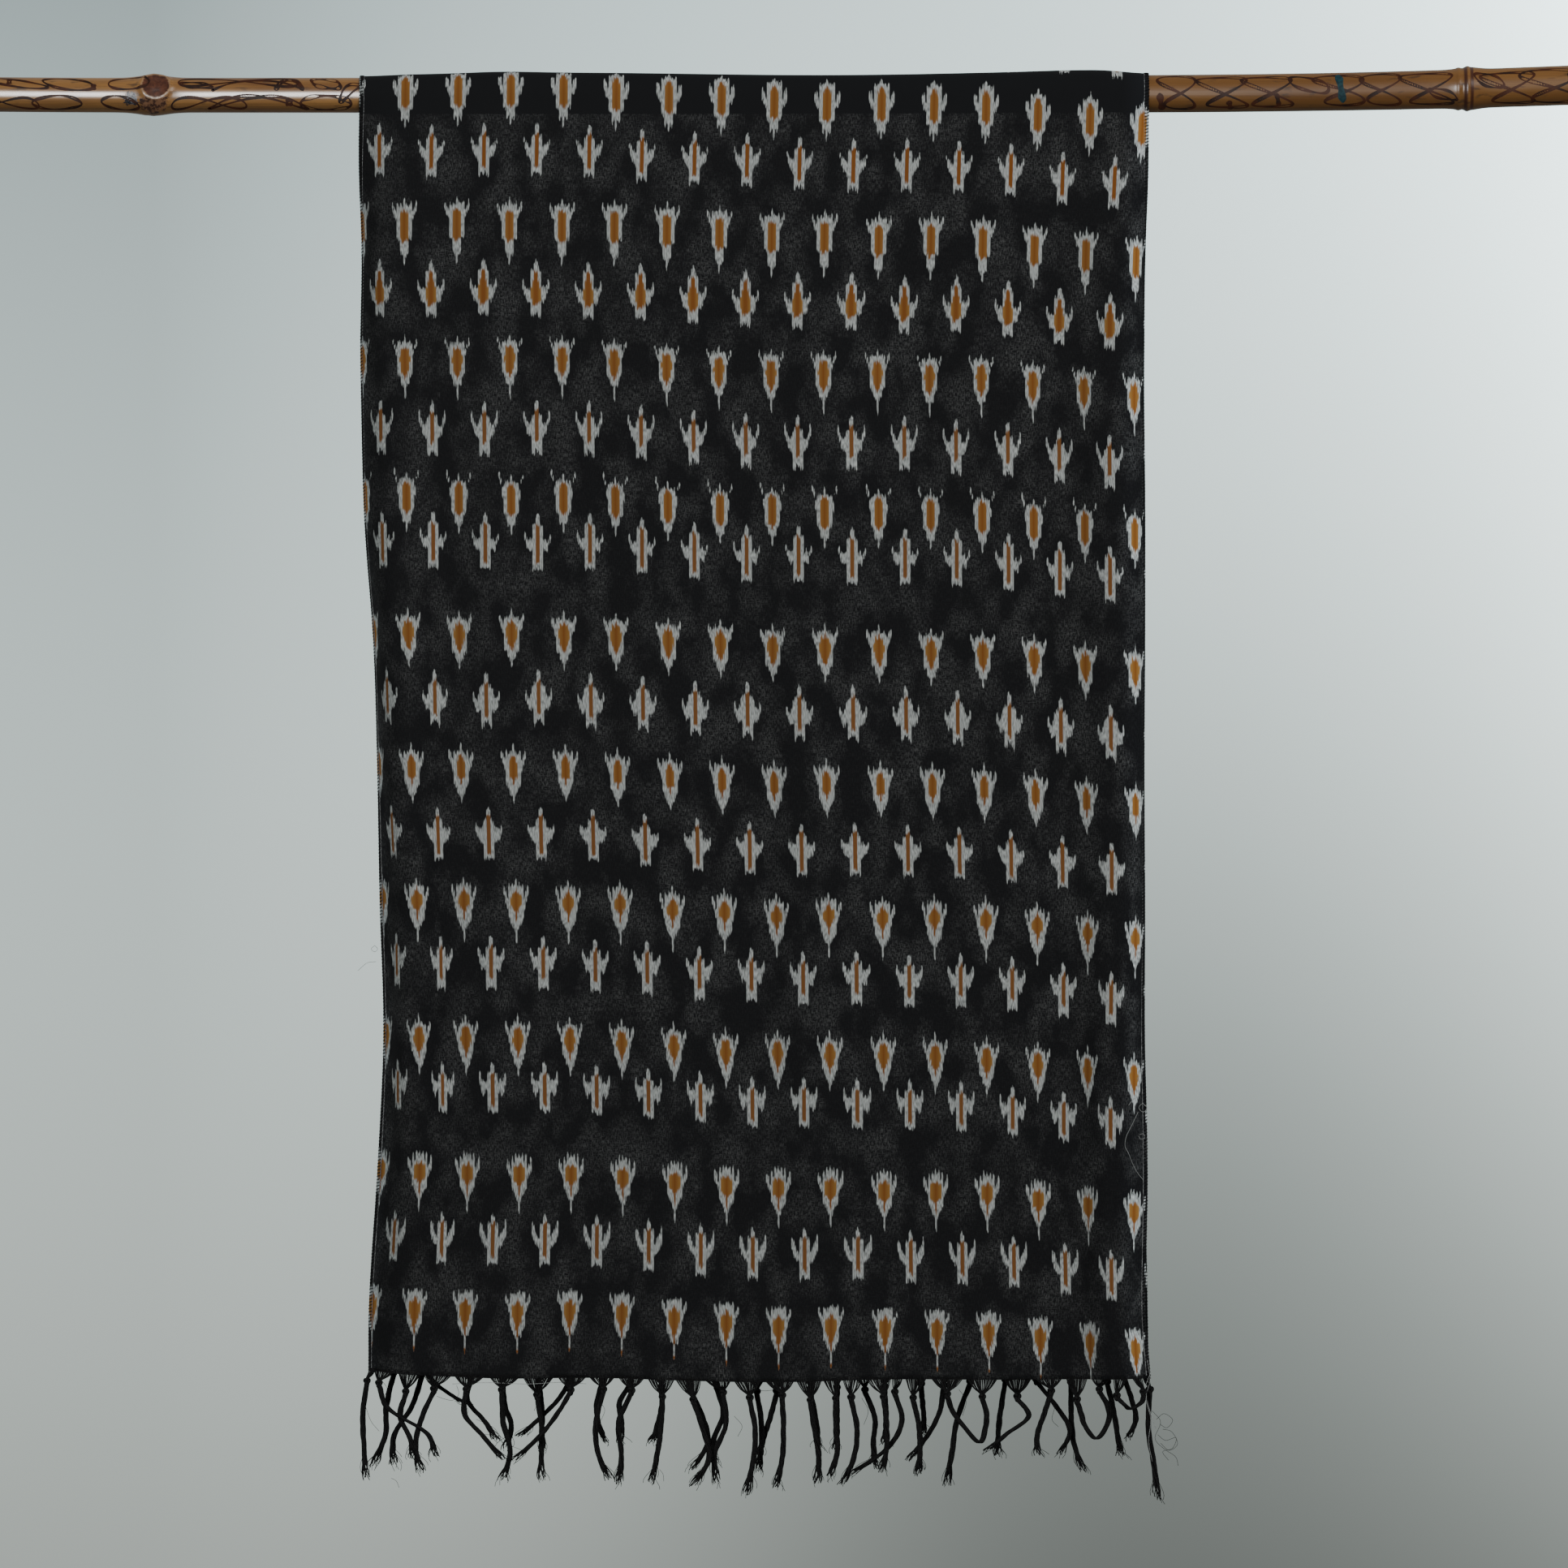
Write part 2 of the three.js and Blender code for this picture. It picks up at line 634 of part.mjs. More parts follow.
// The strip hangs under the fall's lowest row, and every tassel of the hem is joined to it.
function fringeGeometry(fall, grid) {
  const hemRow = grid[grid.length - 1];
  const stripTop = hemRow.map((point) => new THREE.Vector3(point.x, point.y, point.z - SEAM_GAP));
  const stripFoot = stripTop.map((point) => new THREE.Vector3(point.x, point.y, point.z - STRIP_HEIGHT));
  let fringe = solidOf(wallGeometry([stripTop, stripFoot], CLOTH_WALL));
  for (const tassel of fall.tassels) {
    fringe = fringe.add(solidOf(tasselGeometry(fall, hemRow, tassel)));
  }
  const joined = fringe.simplify(MERGE_TOLERANCE).getMesh();
  return geometryOf(Array.from(joined.vertProperties), Array.from(joined.triVerts));
}

// ---------------------------------------------------------------------------------------------------------------
// The object
// ---------------------------------------------------------------------------------------------------------------

const stole = new THREE.Group();

function addPiece(name, geometry, material) {
  const piece = new THREE.Mesh(geometry, material);
  piece.name = name;
  stole.add(piece);
}

const frontGrid = fallGrid(FRONT);
const backGrid = fallGrid(BACK);

addPiece("pole", poleGeometry(), BAMBOO_MATERIAL);
addPiece("cloth_front", wallGeometry(frontGrid, CLOTH_WALL), CLOTH_MATERIAL);
addPiece("cloth_crest", wallGeometry(crestGrid(), CLOTH_WALL), CREST_MATERIAL);
addPiece("cloth_back", wallGeometry(backGrid, CLOTH_WALL), BACK_CLOTH_MATERIAL);
addPiece("fringe_front", fringeGeometry(FRONT, frontGrid), FRINGE_MATERIAL);
addPiece("fringe_back", fringeGeometry(BACK, backGrid), BACK_FRINGE_MATERIAL);

export default stole;
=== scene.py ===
# %% [markdown]
# # An ikat stole hung over a bamboo pole
#
# The stole is one length of black handloom cotton. White and orange motifs are tie-dyed into its warp
# before it is woven. It is folded over a level bamboo pole, its long edges are overlocked, and the warp
# ends of both hems are knotted into tassels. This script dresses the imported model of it: it starts from the
# plain solids and gives each of them its finished surface, its weave and its threads.

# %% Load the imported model
import math

import bpy
import numpy as np
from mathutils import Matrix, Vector


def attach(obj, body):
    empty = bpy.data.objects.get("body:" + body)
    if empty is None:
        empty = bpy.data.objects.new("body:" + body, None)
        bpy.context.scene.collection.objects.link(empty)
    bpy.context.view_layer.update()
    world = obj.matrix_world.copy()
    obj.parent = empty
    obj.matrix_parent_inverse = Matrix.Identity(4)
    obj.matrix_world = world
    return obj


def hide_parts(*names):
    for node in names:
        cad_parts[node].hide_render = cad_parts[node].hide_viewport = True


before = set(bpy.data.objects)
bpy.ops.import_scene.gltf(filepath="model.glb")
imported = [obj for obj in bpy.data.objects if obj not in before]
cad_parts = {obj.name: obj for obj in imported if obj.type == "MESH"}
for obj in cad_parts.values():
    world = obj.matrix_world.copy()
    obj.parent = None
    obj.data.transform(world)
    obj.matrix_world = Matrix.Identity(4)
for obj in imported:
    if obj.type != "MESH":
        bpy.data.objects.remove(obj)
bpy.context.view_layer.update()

# %% [markdown]
# ## The camera
#
# The stole hangs flat, so it is looked at squarely, from eight metres away. The lens follows from that
# distance and from the width that the picture takes in, by similar triangles: the sensor is to the lens as
# the width is to the distance.

# %% Camera
PICTURE_WIDTH = 1.113
PICTURE_CENTRE = (0.0213, -0.014, -0.4893)
CAMERA_DISTANCE = 8
SENSOR_WIDTH = 36

camera_data = bpy.data.cameras.new("camera")
camera_data.sensor_width = SENSOR_WIDTH
camera_data.clip_end = 100
camera_data.lens = SENSOR_WIDTH * CAMERA_DISTANCE / PICTURE_WIDTH
camera = bpy.data.objects.new("camera", camera_data)
camera.location = (PICTURE_CENTRE[0], PICTURE_CENTRE[1] - CAMERA_DISTANCE, PICTURE_CENTRE[2])
camera.rotation_euler = (math.radians(90), 0, 0)
bpy.context.collection.objects.link(camera)
bpy.context.scene.camera = camera
print("lens", round(camera_data.lens, 1), "mm")

# %% [markdown]
# ## Small tools for surfaces
#
# Every surface here is a grid of points that is worked out with numpy in one go and handed to Blender as a
# mesh. The sizes are written in millimetres, as a maker would note them, and become metres when the mesh is
# made. A smooth table is a few measured rows with a cubic curve drawn through each of its columns.

# %% Tools for surfaces
MM = 0.001


def smooth_table(table, column, at):
    """The value of a table's column at places along its first column.

    Between two rows runs the cubic with the rows' own values and slopes. A row's slope is the rise from the
    row before it to the row after it, over the distance between those two.
    """
    places = table[:, 0]
    values = table[:, column]
    numbers = np.arange(len(table))
    before = np.maximum(numbers - 1, 0)
    after = np.minimum(numbers + 1, len(table) - 1)
    slopes = (values[after] - values[before]) / (places[after] - places[before])
    at = np.clip(at, places[0], places[-1])
    k = np.clip(np.searchsorted(places, at) - 1, 0, len(table) - 2)
    step = places[k + 1] - places[k]
    t = (at - places[k]) / step
    start = (1 + 2 * t) * (1 - t) ** 2 * values[k] + t * (1 - t) ** 2 * step * slopes[k]
    end = t**2 * (3 - 2 * t) * values[k + 1] + t**2 * (t - 1) * step * slopes[k + 1]
    return start + end


def ease(t):
    """A step from 0 to 1 that starts and ends level: 3 t squared less 2 t cubed, with t held from 0 to 1."""
    t = np.clip(t, 0, 1)
    return t * t * (3 - 2 * t)


def unit(vectors):
    """Vectors of length 1 in the same directions."""
    return vectors / np.linalg.norm(vectors, axis=-1, keepdims=True)


def add_mesh(name, points, faces, material):
    """A smooth-shaded object from points in millimetres and from faces, which are rows of point numbers."""
    mesh = bpy.data.meshes.new(name)
    mesh.from_pydata((points.reshape(-1, 3) * MM).tolist(), [], faces.tolist())
    mesh.polygons.foreach_set("use_smooth", np.ones(len(mesh.polygons), dtype=bool))
    mesh.materials.append(material)
    mesh.update()
    piece = bpy.data.objects.new(name, mesh)
    bpy.context.collection.objects.link(piece)
    print(name, "has", len(faces), "faces")
    return piece


def grid_faces(rows, columns):
    """Quads between neighbouring points of a grid that is numbered row by row."""
    corner = np.arange(rows - 1)[:, None] * columns + np.arange(columns - 1)
    quads = np.stack([corner, corner + 1, corner + columns + 1, corner + columns], axis=-1)
    return quads.reshape(-1, 4)


def tube_parts(paths, radii, sides, reference, closed=False):
    """Points and faces of many tubes at once.

    paths holds the tubes' centre lines, as (tube, station, 3), and radii holds a radius for each station. A
    ring turns in the plane across the path, from the direction that is square to both the path and the
    reference. Open tubes get a flat cap at both ends, made of quads that cross the ring like rungs.
    """
    count, stations, _ = paths.shape
    if closed:
        heading = np.roll(paths, -1, axis=1) - np.roll(paths, 1, axis=1)
    else:
        heading = np.gradient(paths, axis=1)
    heading = unit(heading)
    across = unit(np.cross(heading, np.broadcast_to(reference, heading.shape)))
    up = np.cross(heading, across)
    turn = 2 * np.pi * np.arange(sides) / sides
    spoke = np.cos(turn)[:, None] * across[:, :, None, :] + np.sin(turn)[:, None] * up[:, :, None, :]
    points = paths[:, :, None, :] + np.broadcast_to(radii, (count, stations))[:, :, None, None] * spoke
    station = np.arange(stations if closed else stations - 1)
    here = station[:, None] * sides + np.arange(sides)
    beside = station[:, None] * sides + (np.arange(sides) + 1) % sides
    further = ((station + 1) % stations - station)[:, None] * sides
    wall = np.stack([here, beside, beside + further, here + further], axis=-1).reshape(-1, 4)
    if not closed:
        rung = np.arange(sides // 2 - 1)
        cap = np.stack([rung, rung + 1, sides - 2 - rung, sides - 1 - rung], axis=-1)
        wall = np.concatenate([wall, cap[:, ::-1], cap + (stations - 1) * sides])
    first = np.arange(count)[:, None, None] * stations * sides
    return points.reshape(-1, 3), (wall + first).reshape(-1, 4)


def joined(parts):
    """Points and faces of several (points, faces) pairs as one pair."""
    starts = np.cumsum([0] + [len(points) for points, _ in parts[:-1]])
    points = np.concatenate([points for points, _ in parts])
    faces = np.concatenate([faces + start for (_, faces), start in zip(parts, starts)])
    return points, faces


def curve_through(knots, count):
    """Points along smooth curves through knots, given as (curve, knot, 3).

    This is the Catmull-Rom curve: at each knot it runs parallel to the line between the knots on either side.
    """
    first = 2 * knots[:, :1] - knots[:, 1:2]
    last = 2 * knots[:, -1:] - knots[:, -2:-1]
    knots = np.concatenate([first, knots, last], axis=1)
    place = np.linspace(0, knots.shape[1] - 3 - 1e-9, count)
    k = place.astype(int)
    t = (place - k)[:, None]
    a, b, c, d = (knots[:, k + step] for step in range(4))
    return 0.5 * (2 * b + (c - a) * t + (2 * a - 5 * b + 4 * c - d) * t**2 + (3 * b - a - 3 * c + d) * t**3)


# %% [markdown]
# ## Small tools for materials
#
# A material is a small graph of nodes. These helpers add one node each and give back its output, so that a
# graph reads like a sum. Numbers that are the same all over a surface are set straight on the shader.

# %% Tools for materials


def new_material(name, roughness, **settings):
    """A material with one Principled shader. Returns the material, its node tree and the shader."""
    material = bpy.data.materials.new(name)
    material.use_nodes = True
    tree = material.node_tree
    tree.nodes.clear()
    shader = tree.nodes.new("ShaderNodeBsdfPrincipled")
    shader.inputs["Roughness"].default_value = roughness
    for socket, value in settings.items():
        shader.inputs[socket.replace("_", " ")].default_value = value
    output = tree.nodes.new("ShaderNodeOutputMaterial")
    tree.links.new(shader.outputs[0], output.inputs[0])
    return material, tree, shader


def feed(tree, socket, value):
    """Links an output to a socket, or sets the socket to a number or a colour."""
    if isinstance(value, bpy.types.NodeSocket):
        tree.links.new(value, socket)
    else:
        socket.default_value = value


def sums(tree, operation, *values, clamp=False):
    """The output of a Math node."""
    node = tree.nodes.new("ShaderNodeMath")
    node.operation = operation
    node.use_clamp = clamp
    for socket, value in zip(node.inputs, values):
        feed(tree, socket, value)
    return node.outputs[0]


def colour_mix(tree, share, first, second, kind="MIX"):
    """The first colour turning into the second as share goes from 0 to 1."""
    node = tree.nodes.new("ShaderNodeMix")
    node.data_type = "RGBA"
    node.blend_type = kind
    feed(tree, node.inputs["Factor"], share)
    feed(tree, node.inputs["A"], first)
    feed(tree, node.inputs["B"], second)
    return node.outputs["Result"]


def vector_of(tree, x, y, z):
    """Three numbers as one vector."""
    node = tree.nodes.new("ShaderNodeCombineXYZ")
    for socket, value in zip(node.inputs, (x, y, z)):
        feed(tree, socket, value)
    return node.outputs[0]


def parts_of(tree, vector):
    """The three numbers of a vector or of a colour."""
    node = tree.nodes.new("ShaderNodeSeparateXYZ")
    feed(tree, node.inputs[0], vector)
    return node.outputs[0], node.outputs[1], node.outputs[2]


def chance(tree, x, y, seed):
    """Three random numbers from 0 to 1 that belong to a pair of whole numbers."""
    node = tree.nodes.new("ShaderNodeTexWhiteNoise")
    node.noise_dimensions = "3D"
    feed(tree, node.inputs["Vector"], vector_of(tree, x, y, seed))
    return parts_of(tree, node.outputs["Color"])


def clouds(tree, vector, scale, detail=2.0, roughness=0.5):
    """Soft noise, mostly between 0.3 and 0.7."""
    node = tree.nodes.new("ShaderNodeTexNoise")
    feed(tree, node.inputs["Vector"], vector)
    node.inputs["Scale"].default_value = scale
    node.inputs["Detail"].default_value = detail
    node.inputs["Roughness"].default_value = roughness
    return node.outputs[0]


def rescaled(tree, value, low, high, to_low=0.0, to_high=1.0):
    """A value that runs from low to high, brought to the range from to_low to to_high and held inside it."""
    node = tree.nodes.new("ShaderNodeMapRange")
    node.clamp = True
    for socket, number in zip(node.inputs, (value, low, high, to_low, to_high)):
        feed(tree, socket, number)
    return node.outputs[0]


def stretched(tree, vector, x, y, z):
    """A vector with each of its three numbers multiplied."""
    node = tree.nodes.new("ShaderNodeVectorMath")
    node.operation = "MULTIPLY"
    feed(tree, node.inputs[0], vector)
    node.inputs[1].default_value = (x, y, z)
    return node.outputs[0]


def uv_of(tree, name):
    """The texture coordinates of a named UV map."""
    node = tree.nodes.new("ShaderNodeUVMap")
    node.uv_map = name
    return node.outputs[0]


def bump(tree, shader, height, distance, strength):
    """Feeds a height in the range from 0 to 1 into the shader's normal."""
    node = tree.nodes.new("ShaderNodeBump")
    node.inputs["Strength"].default_value = strength
    node.inputs["Distance"].default_value = distance
    feed(tree, node.inputs["Height"], height)
    tree.links.new(node.outputs[0], shader.inputs["Normal"])


def speckled_material(name, roughness, specular, dark, light, scale, detail, low, high):
    """A material that runs from a dark to a light colour as a noise over it runs from low to high."""
    material, tree, shader = new_material(name, roughness=roughness)
    shader.inputs["Specular IOR Level"].default_value = specular
    place = tree.nodes.new("ShaderNodeTexCoord").outputs["Object"]
    share = rescaled(tree, clouds(tree, place, scale, detail=detail), low, high)
    feed(tree, shader.inputs["Base Color"], colour_mix(tree, share, dark, light))
    return material


# %% [markdown]
# ## The bamboo pole
#
# A culm of bamboo is a slightly tapered tube with a raised ring at each node, where a leaf sheath grew. On
# one node the stub of a side branch was cut away and left a brown scar. The surface is a tube whose radius
# depends on the place along it and on the angle round it. The rings are narrow bells added to the radius.

# %% The pole's surface
POLE_LEFT, POLE_RIGHT = -580, 640
POLE_SIDES = 64
RING_SPACES = 400
POLE_LINE = np.array(
    [  # x, height of the axis, radius
        [-580, 1.3, 12.4],
        [-467, 0.5, 12.4],
        [-300, 0.4, 12.5],
        [0, 0.5, 12.8],
        [290, 1.5, 13.4],
        [400, 2.7, 13.5],
        [501, 4.9, 13.9],
        [570, 7.2, 14.1],
        [640, 9.8, 14.4],
    ]
)
POLE_NODES = np.array(
    [  # x, rise, reach along the pole, height of the sheath's ridge
        [-427, 2.3, 13, 0.15],
        [-179, 0.9, 14, 0.7],
        [228, 0.5, 14, 0.7],
        [507, 1.6, 10, 0.7],
    ]
)
SCAR_X, SCAR_ANGLE, SCAR_LONG, SCAR_WIDE = -427, 58, 11, 45


def pole_axis(x):
    return smooth_table(POLE_LINE, 1, x)


def node_rise(x, widen):
    """Height of all nodes at x: a bell for each, with its reach made longer by widen."""
    away = (x[..., None] - POLE_NODES[:, 0]) / (POLE_NODES[:, 2] * widen)
    return (POLE_NODES[:, 1] * np.exp(-(away**2))).sum(axis=-1)


def pole_surface(x, angle):
    """Points on the pole at x and at an angle in degrees: 0 is the top, 90 the front and 180 the underside.

    To the soft bells of the nodes come the sheath's ridge, a groove beside it, and the branch scar: a dish
    with a raised rim that fades away from its own centre.
    """
    away = x[..., None] - POLE_NODES[:, 0]
    ridge = np.exp(-((away / 1.5) ** 2)) - 0.7 * np.exp(-(((away + 3.6) / 1.3) ** 2))
    ridge += 0.6 * np.exp(-(((away + 6.6) / 1.4) ** 2))
    radius = smooth_table(POLE_LINE, 2, x) + node_rise(x, 1) + (POLE_NODES[:, 3] * ridge).sum(axis=-1)
    turned = (angle - SCAR_ANGLE + 180) % 360 - 180
    scar = np.hypot((x - SCAR_X - 2) / SCAR_LONG, turned / SCAR_WIDE)
    radius += 0.8 * np.exp(-(((scar - 1) / 0.16) ** 2)) - 0.9 * ease((0.95 - scar) / 0.5)
    radians = np.radians(angle)
    return np.stack([x, -radius * np.sin(radians), pole_axis(x) + radius * np.cos(radians)], axis=-1)


def pole_parts():
    """The pole as a tube of rings, 3 mm apart and closer over each node, with flat sawn ends."""
    even = np.linspace(POLE_LEFT, POLE_RIGHT, RING_SPACES + 1)
    close = (POLE_NODES[:, :1] + np.linspace(-14, 14, 33)).ravel()
    stations = np.unique(np.round(np.concatenate([even, close]), 2))
    sides = POLE_SIDES
    x, angle = np.meshgrid(stations, np.arange(sides) * 360 / sides, indexing="ij")
    points = pole_surface(x, angle).reshape(-1, 3)
    here = np.arange(len(stations) - 1)[:, None] * sides + np.arange(sides)
    beside = np.arange(len(stations) - 1)[:, None] * sides + (np.arange(sides) + 1) % sides
    wall = np.stack([here, here + sides, beside + sides, beside], axis=-1).reshape(-1, 4)
    rung = np.arange(sides // 2 - 1)
    cap = np.stack([rung, rung + 1, sides - 2 - rung, sides - 1 - rung], axis=-1)
    return points, np.concatenate([wall, cap, cap[:, ::-1] + (len(stations) - 1) * sides])


# %% [markdown]
# The skin of the bamboo is smooth and shiny, with fine fibres along it. Its colour wanders between straw
# and chestnut, and the left part is more polished. The place of a point round the pole comes from its
# object coordinates, so the branch scar, the scuffs beside it and the dark lines of the nodes can be
# painted where the surface has them. The underside is painted darker as well, as painted shade.

# %% The pole's skin
STRAW = (0.42, 0.20, 0.048, 1)
CHESTNUT = (0.19, 0.078, 0.018, 1)
FIBRE_BROWN = (0.07, 0.025, 0.006, 1)
DULL_BROWN = (0.125, 0.053, 0.014, 1)
SPOT_BROWN = (0.045, 0.022, 0.012, 1)
UNDERSIDE_PAINTED_SHADE = (0.075, 0.034, 0.011, 1)
RING_BROWN = (0.045, 0.010, 0.005, 1)
RIM_BROWN = (0.32, 0.18, 0.09, 1)
WORN_BROWNS = ((0.05, 0.02, 0.012, 1), (0.21, 0.10, 0.05, 1))
SCUFF_GREYS = ((0.012, 0.013, 0.02, 1), (0.25, 0.25, 0.27, 1))
SCAR_BROWNS = ((0.05, 0.014, 0.007, 1), (0.13, 0.042, 0.02, 1))
PATCH_RADIUS = 13.5

bamboo, tree, shader = new_material("bamboo", roughness=0.34, Coat_Roughness=0.25)
shader.inputs["Specular IOR Level"].default_value = 0.2
place = tree.nodes.new("ShaderNodeTexCoord").outputs["Object"]
along, depth, height = parts_of(tree, place)
tone = clouds(tree, stretched(tree, place, 7, 45, 45), 1.0, detail=4)
fibre = clouds(tree, stretched(tree, place, 9, 900, 900), 1.0, detail=2)
skin = colour_mix(tree, rescaled(tree, tone, 0.36, 0.66), STRAW, CHESTNUT)
skin = colour_mix(tree, rescaled(tree, fibre, 0.45, 0.75, 0, 0.4), skin, FIBRE_BROWN)
to_right = rescaled(tree, along, -0.2, 0.3)
skin = colour_mix(tree, sums(tree, "MULTIPLY", to_right, 0.75), skin, DULL_BROWN)
spots = clouds(tree, stretched(tree, place, 60, 200, 200), 1.0, detail=3)
skin = colour_mix(tree, rescaled(tree, spots, 0.60, 0.70, 0, 0.7), skin, SPOT_BROWN)
# Painted shade: from 4.5 mm below the axis downwards the skin is darkened towards a shade brown.
under = rescaled(tree, height, -0.0095, -0.0045, 0.6, 0)
skin = colour_mix(tree, under, skin, UNDERSIDE_PAINTED_SHADE)


def patch_at(tree, x, angle, size, soft, rough):
    """A mask of 1 round a place on the skin, with an edge made uneven by a rough noise."""
    turn = math.radians(angle)
    apart = tree.nodes.new("ShaderNodeVectorMath")
    apart.operation = "DISTANCE"
    tree.links.new(place, apart.inputs[0])
    radius = PATCH_RADIUS * MM
    apart.inputs[1].default_value = (x * MM, -math.sin(turn) * radius, math.cos(turn) * radius)
    edge = sums(tree, "ADD", apart.outputs["Value"], rescaled(tree, rough, 0.3, 0.7, -soft * MM, soft * MM))
    return rescaled(tree, edge, (size - 0.5) * MM, (size + 0.5) * MM, 1, 0)


ring_dark = 0.0
for node_x in POLE_NODES[1:, 0]:
    for beside in (-1.6, 2.8):
        near = sums(tree, "ABSOLUTE", sums(tree, "SUBTRACT", along, float(node_x + beside) * MM))
        ring_dark = sums(tree, "MAXIMUM", ring_dark, rescaled(tree, near, 0.0007, 0.0016, 0.9, 0))
skin = colour_mix(tree, ring_dark, skin, RING_BROWN)
rough = clouds(tree, place, 260, detail=4, roughness=0.7)
crumbs = rescaled(tree, rough, 0.46, 0.54)
worn = patch_at(tree, SCAR_X + 1, 112, 9.5, 3, rough)
skin = colour_mix(tree, worn, skin, colour_mix(tree, crumbs, *WORN_BROWNS))
scuff = patch_at(tree, SCAR_X - 15, 100, 5, 2.5, rough)
skin = colour_mix(tree, scuff, skin, colour_mix(tree, crumbs, *SCUFF_GREYS))
rim = patch_at(tree, SCAR_X + 2, SCAR_ANGLE, 10.8, 0.8, rough)
skin = colour_mix(tree, rim, skin, RIM_BROWN)
scar_mask = patch_at(tree, SCAR_X + 2, SCAR_ANGLE, 9.6, 0.8, rough)
scar_colour = colour_mix(tree, rescaled(tree, rough, 0.35, 0.65), *SCAR_BROWNS)
skin = colour_mix(tree, scar_mask, skin, scar_colour)
feed(tree, shader.inputs["Base Color"], skin)
rough_places = sums(tree, "MAXIMUM", rim, sums(tree, "MAXIMUM", worn, scuff))
smooth_places = sums(tree, "SUBTRACT", 1, rough_places)
glossy = sums(tree, "MULTIPLY", rescaled(tree, to_right, 0, 1, 0.4, 0.02), smooth_places)
feed(tree, shader.inputs["Coat Weight"], glossy)
rough_height = sums(tree, "MULTIPLY", rough, rough_places)
bump(tree, shader, sums(tree, "MULTIPLY_ADD", rough_height, 3, fibre), 0.0002, 0.3)

pole = add_mesh("bamboo_pole", *pole_parts(), bamboo)
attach(pole, "root")
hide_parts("pole")

# %% [markdown]
# Before it was sold, the pole was decorated by drawing a flame over it. That left scorched lines that
# wander round it in loops. Each loop is a closed figure whose place along the pole and angle round it swing
# as a cosine and a sine: with the same number of swings it is an oval, and with one and two it is a figure
# of eight. A row with almost no length is a single stroke of the brush. The line is a flat band, 0.06 mm
# clear of the skin. One stroke of teal paint has its own colour.

# %% Scorched loops
LOOPS = np.array(
    [  # middle x, half length, middle angle, half angle, swings along, swings round, phase, slant, wide
        [-528, 26, 48, 24, 1, 1, 0.8, 4, 1.3],
        [-534, 26, 124, 22, 1, 2, 0.3, 0, 1.3],
        [-487, 18, 52, 26, 1, 1, 0.3, 4, 1.5],
        [-495, 17, 122, 26, 1, 1, 0.1, -2, 1.6],
        [-469, 1, 66, 8, 1, 1, 0, 0, 1.6],
        [-529, 1, 46, 8, 1, 1, 0, 0, 1.4],
        [-450, 13, 122, 26, 1, 1, 0.2, 2, 1.5],
        [-444, 14, 50, 25, 1, 1, -0.2, 2, 1.3],
        [-396, 11, 58, 11, 1, 1, 0.3, 2, 1.5],
        [-366, 44, 44, 19, 1, 2, 0.2, 0, 1.4],
        [-352, 32, 56, 20, 1, 2, 1.3, 3, 1.3],
        [-387, 26, 122, 22, 1, 2, 0.2, 4, 1.4],
        [-352, 35, 120, 24, 1, 2, 1.4, -4, 1.6],
        [-330, 9, 52, 19, 1, 2, 0.6, 3, 2.0],
        [-330, 1.5, 118, 9, 1, 1, 0, 0, 2.0],
        [-304, 17, 122, 27, 1, 1, 0.4, -5, 2.2],
        [-304, 10, 50, 22, 1, 1, 0.2, 3, 2.2],
        [-278, 16, 84, 30, 1, 2, 0.5, 3, 1.8],
        [289, 0.8, 122, 26, 1, 1, 0, 1, 2.3],
        [301, 12, 88, 58, 2, 1, 0.75, 3, 1.6],
        [334, 16, 90, 54, 2, 1, 0.8, 4, 1.7],
        [338, 0.7, 134, 14, 1, 1, 0, 0.8, 2.0],
        [366, 16, 90, 53, 2, 1, 0.75, 4, 1.7],
        [372, 0.7, 116, 18, 1, 1, 0, 0.8, 1.5],
        [394, 14, 68, 28, 1, 1, 0.4, 3, 1.5],
        [417, 16, 88, 50, 2, 1, 0.7, 4, 1.6],
        [446, 13, 88, 52, 2, 1, 0.85, 3, 1.5],
        [479, 17, 90, 54, 2, 1, 0.8, 4, 1.5],
        [489, 10, 108, 18, 1, 1, 0.5, 2, 1.2],
        [522, 10, 70, 24, 1, 1, 0.4, 2, 1.3],
        [537, 17, 96, 52, 2, 1, 0.8, 4, 1.6],
        [566, 18, 94, 54, 2, 1, 0.75, 5, 1.7],
        [600, 17, 94, 53, 2, 1, 0.8, 4, 1.7],
        [626, 8, 104, 26, 1, 1, 0.3, 2, 1.5],
        [-540, 20, 246, 34, 2, 1, 0.8, 4, 1.6],
        [-498, 17, 288, 26, 1, 1, 0.3, 4, 1.6],
        [-446, 26, 240, 24, 1, 2, 0.3, 4, 1.5],
        [-392, 18, 296, 34, 2, 1, 0.75, 4, 1.7],
        [-346, 34, 244, 24, 1, 2, 1.4, 4, 1.6],
        [-300, 17, 292, 27, 1, 1, 0.3, -4, 1.8],
        [312, 16, 268, 42, 2, 1, 0.8, 4, 1.6],
        [352, 16, 272, 40, 2, 1, 0.75, 4, 1.7],
        [396, 15, 250, 28, 1, 1, 0.4, 3, 1.5],
        [434, 16, 278, 40, 2, 1, 0.8, 4, 1.6],
        [474, 14, 256, 34, 2, 1, 0.7, 4, 1.5],
        [540, 17, 268, 40, 2, 1, 0.8, 4, 1.7],
        [590, 18, 274, 38, 2, 1, 0.75, 4, 1.6],
    ]
)
TEAL_STROKE = np.array([[416.5, 0.8, 80, 44, 1, 1, 0, 1.5, 2.6]])
LOOP_STATIONS = 120
LOOP_RADIUS = 13


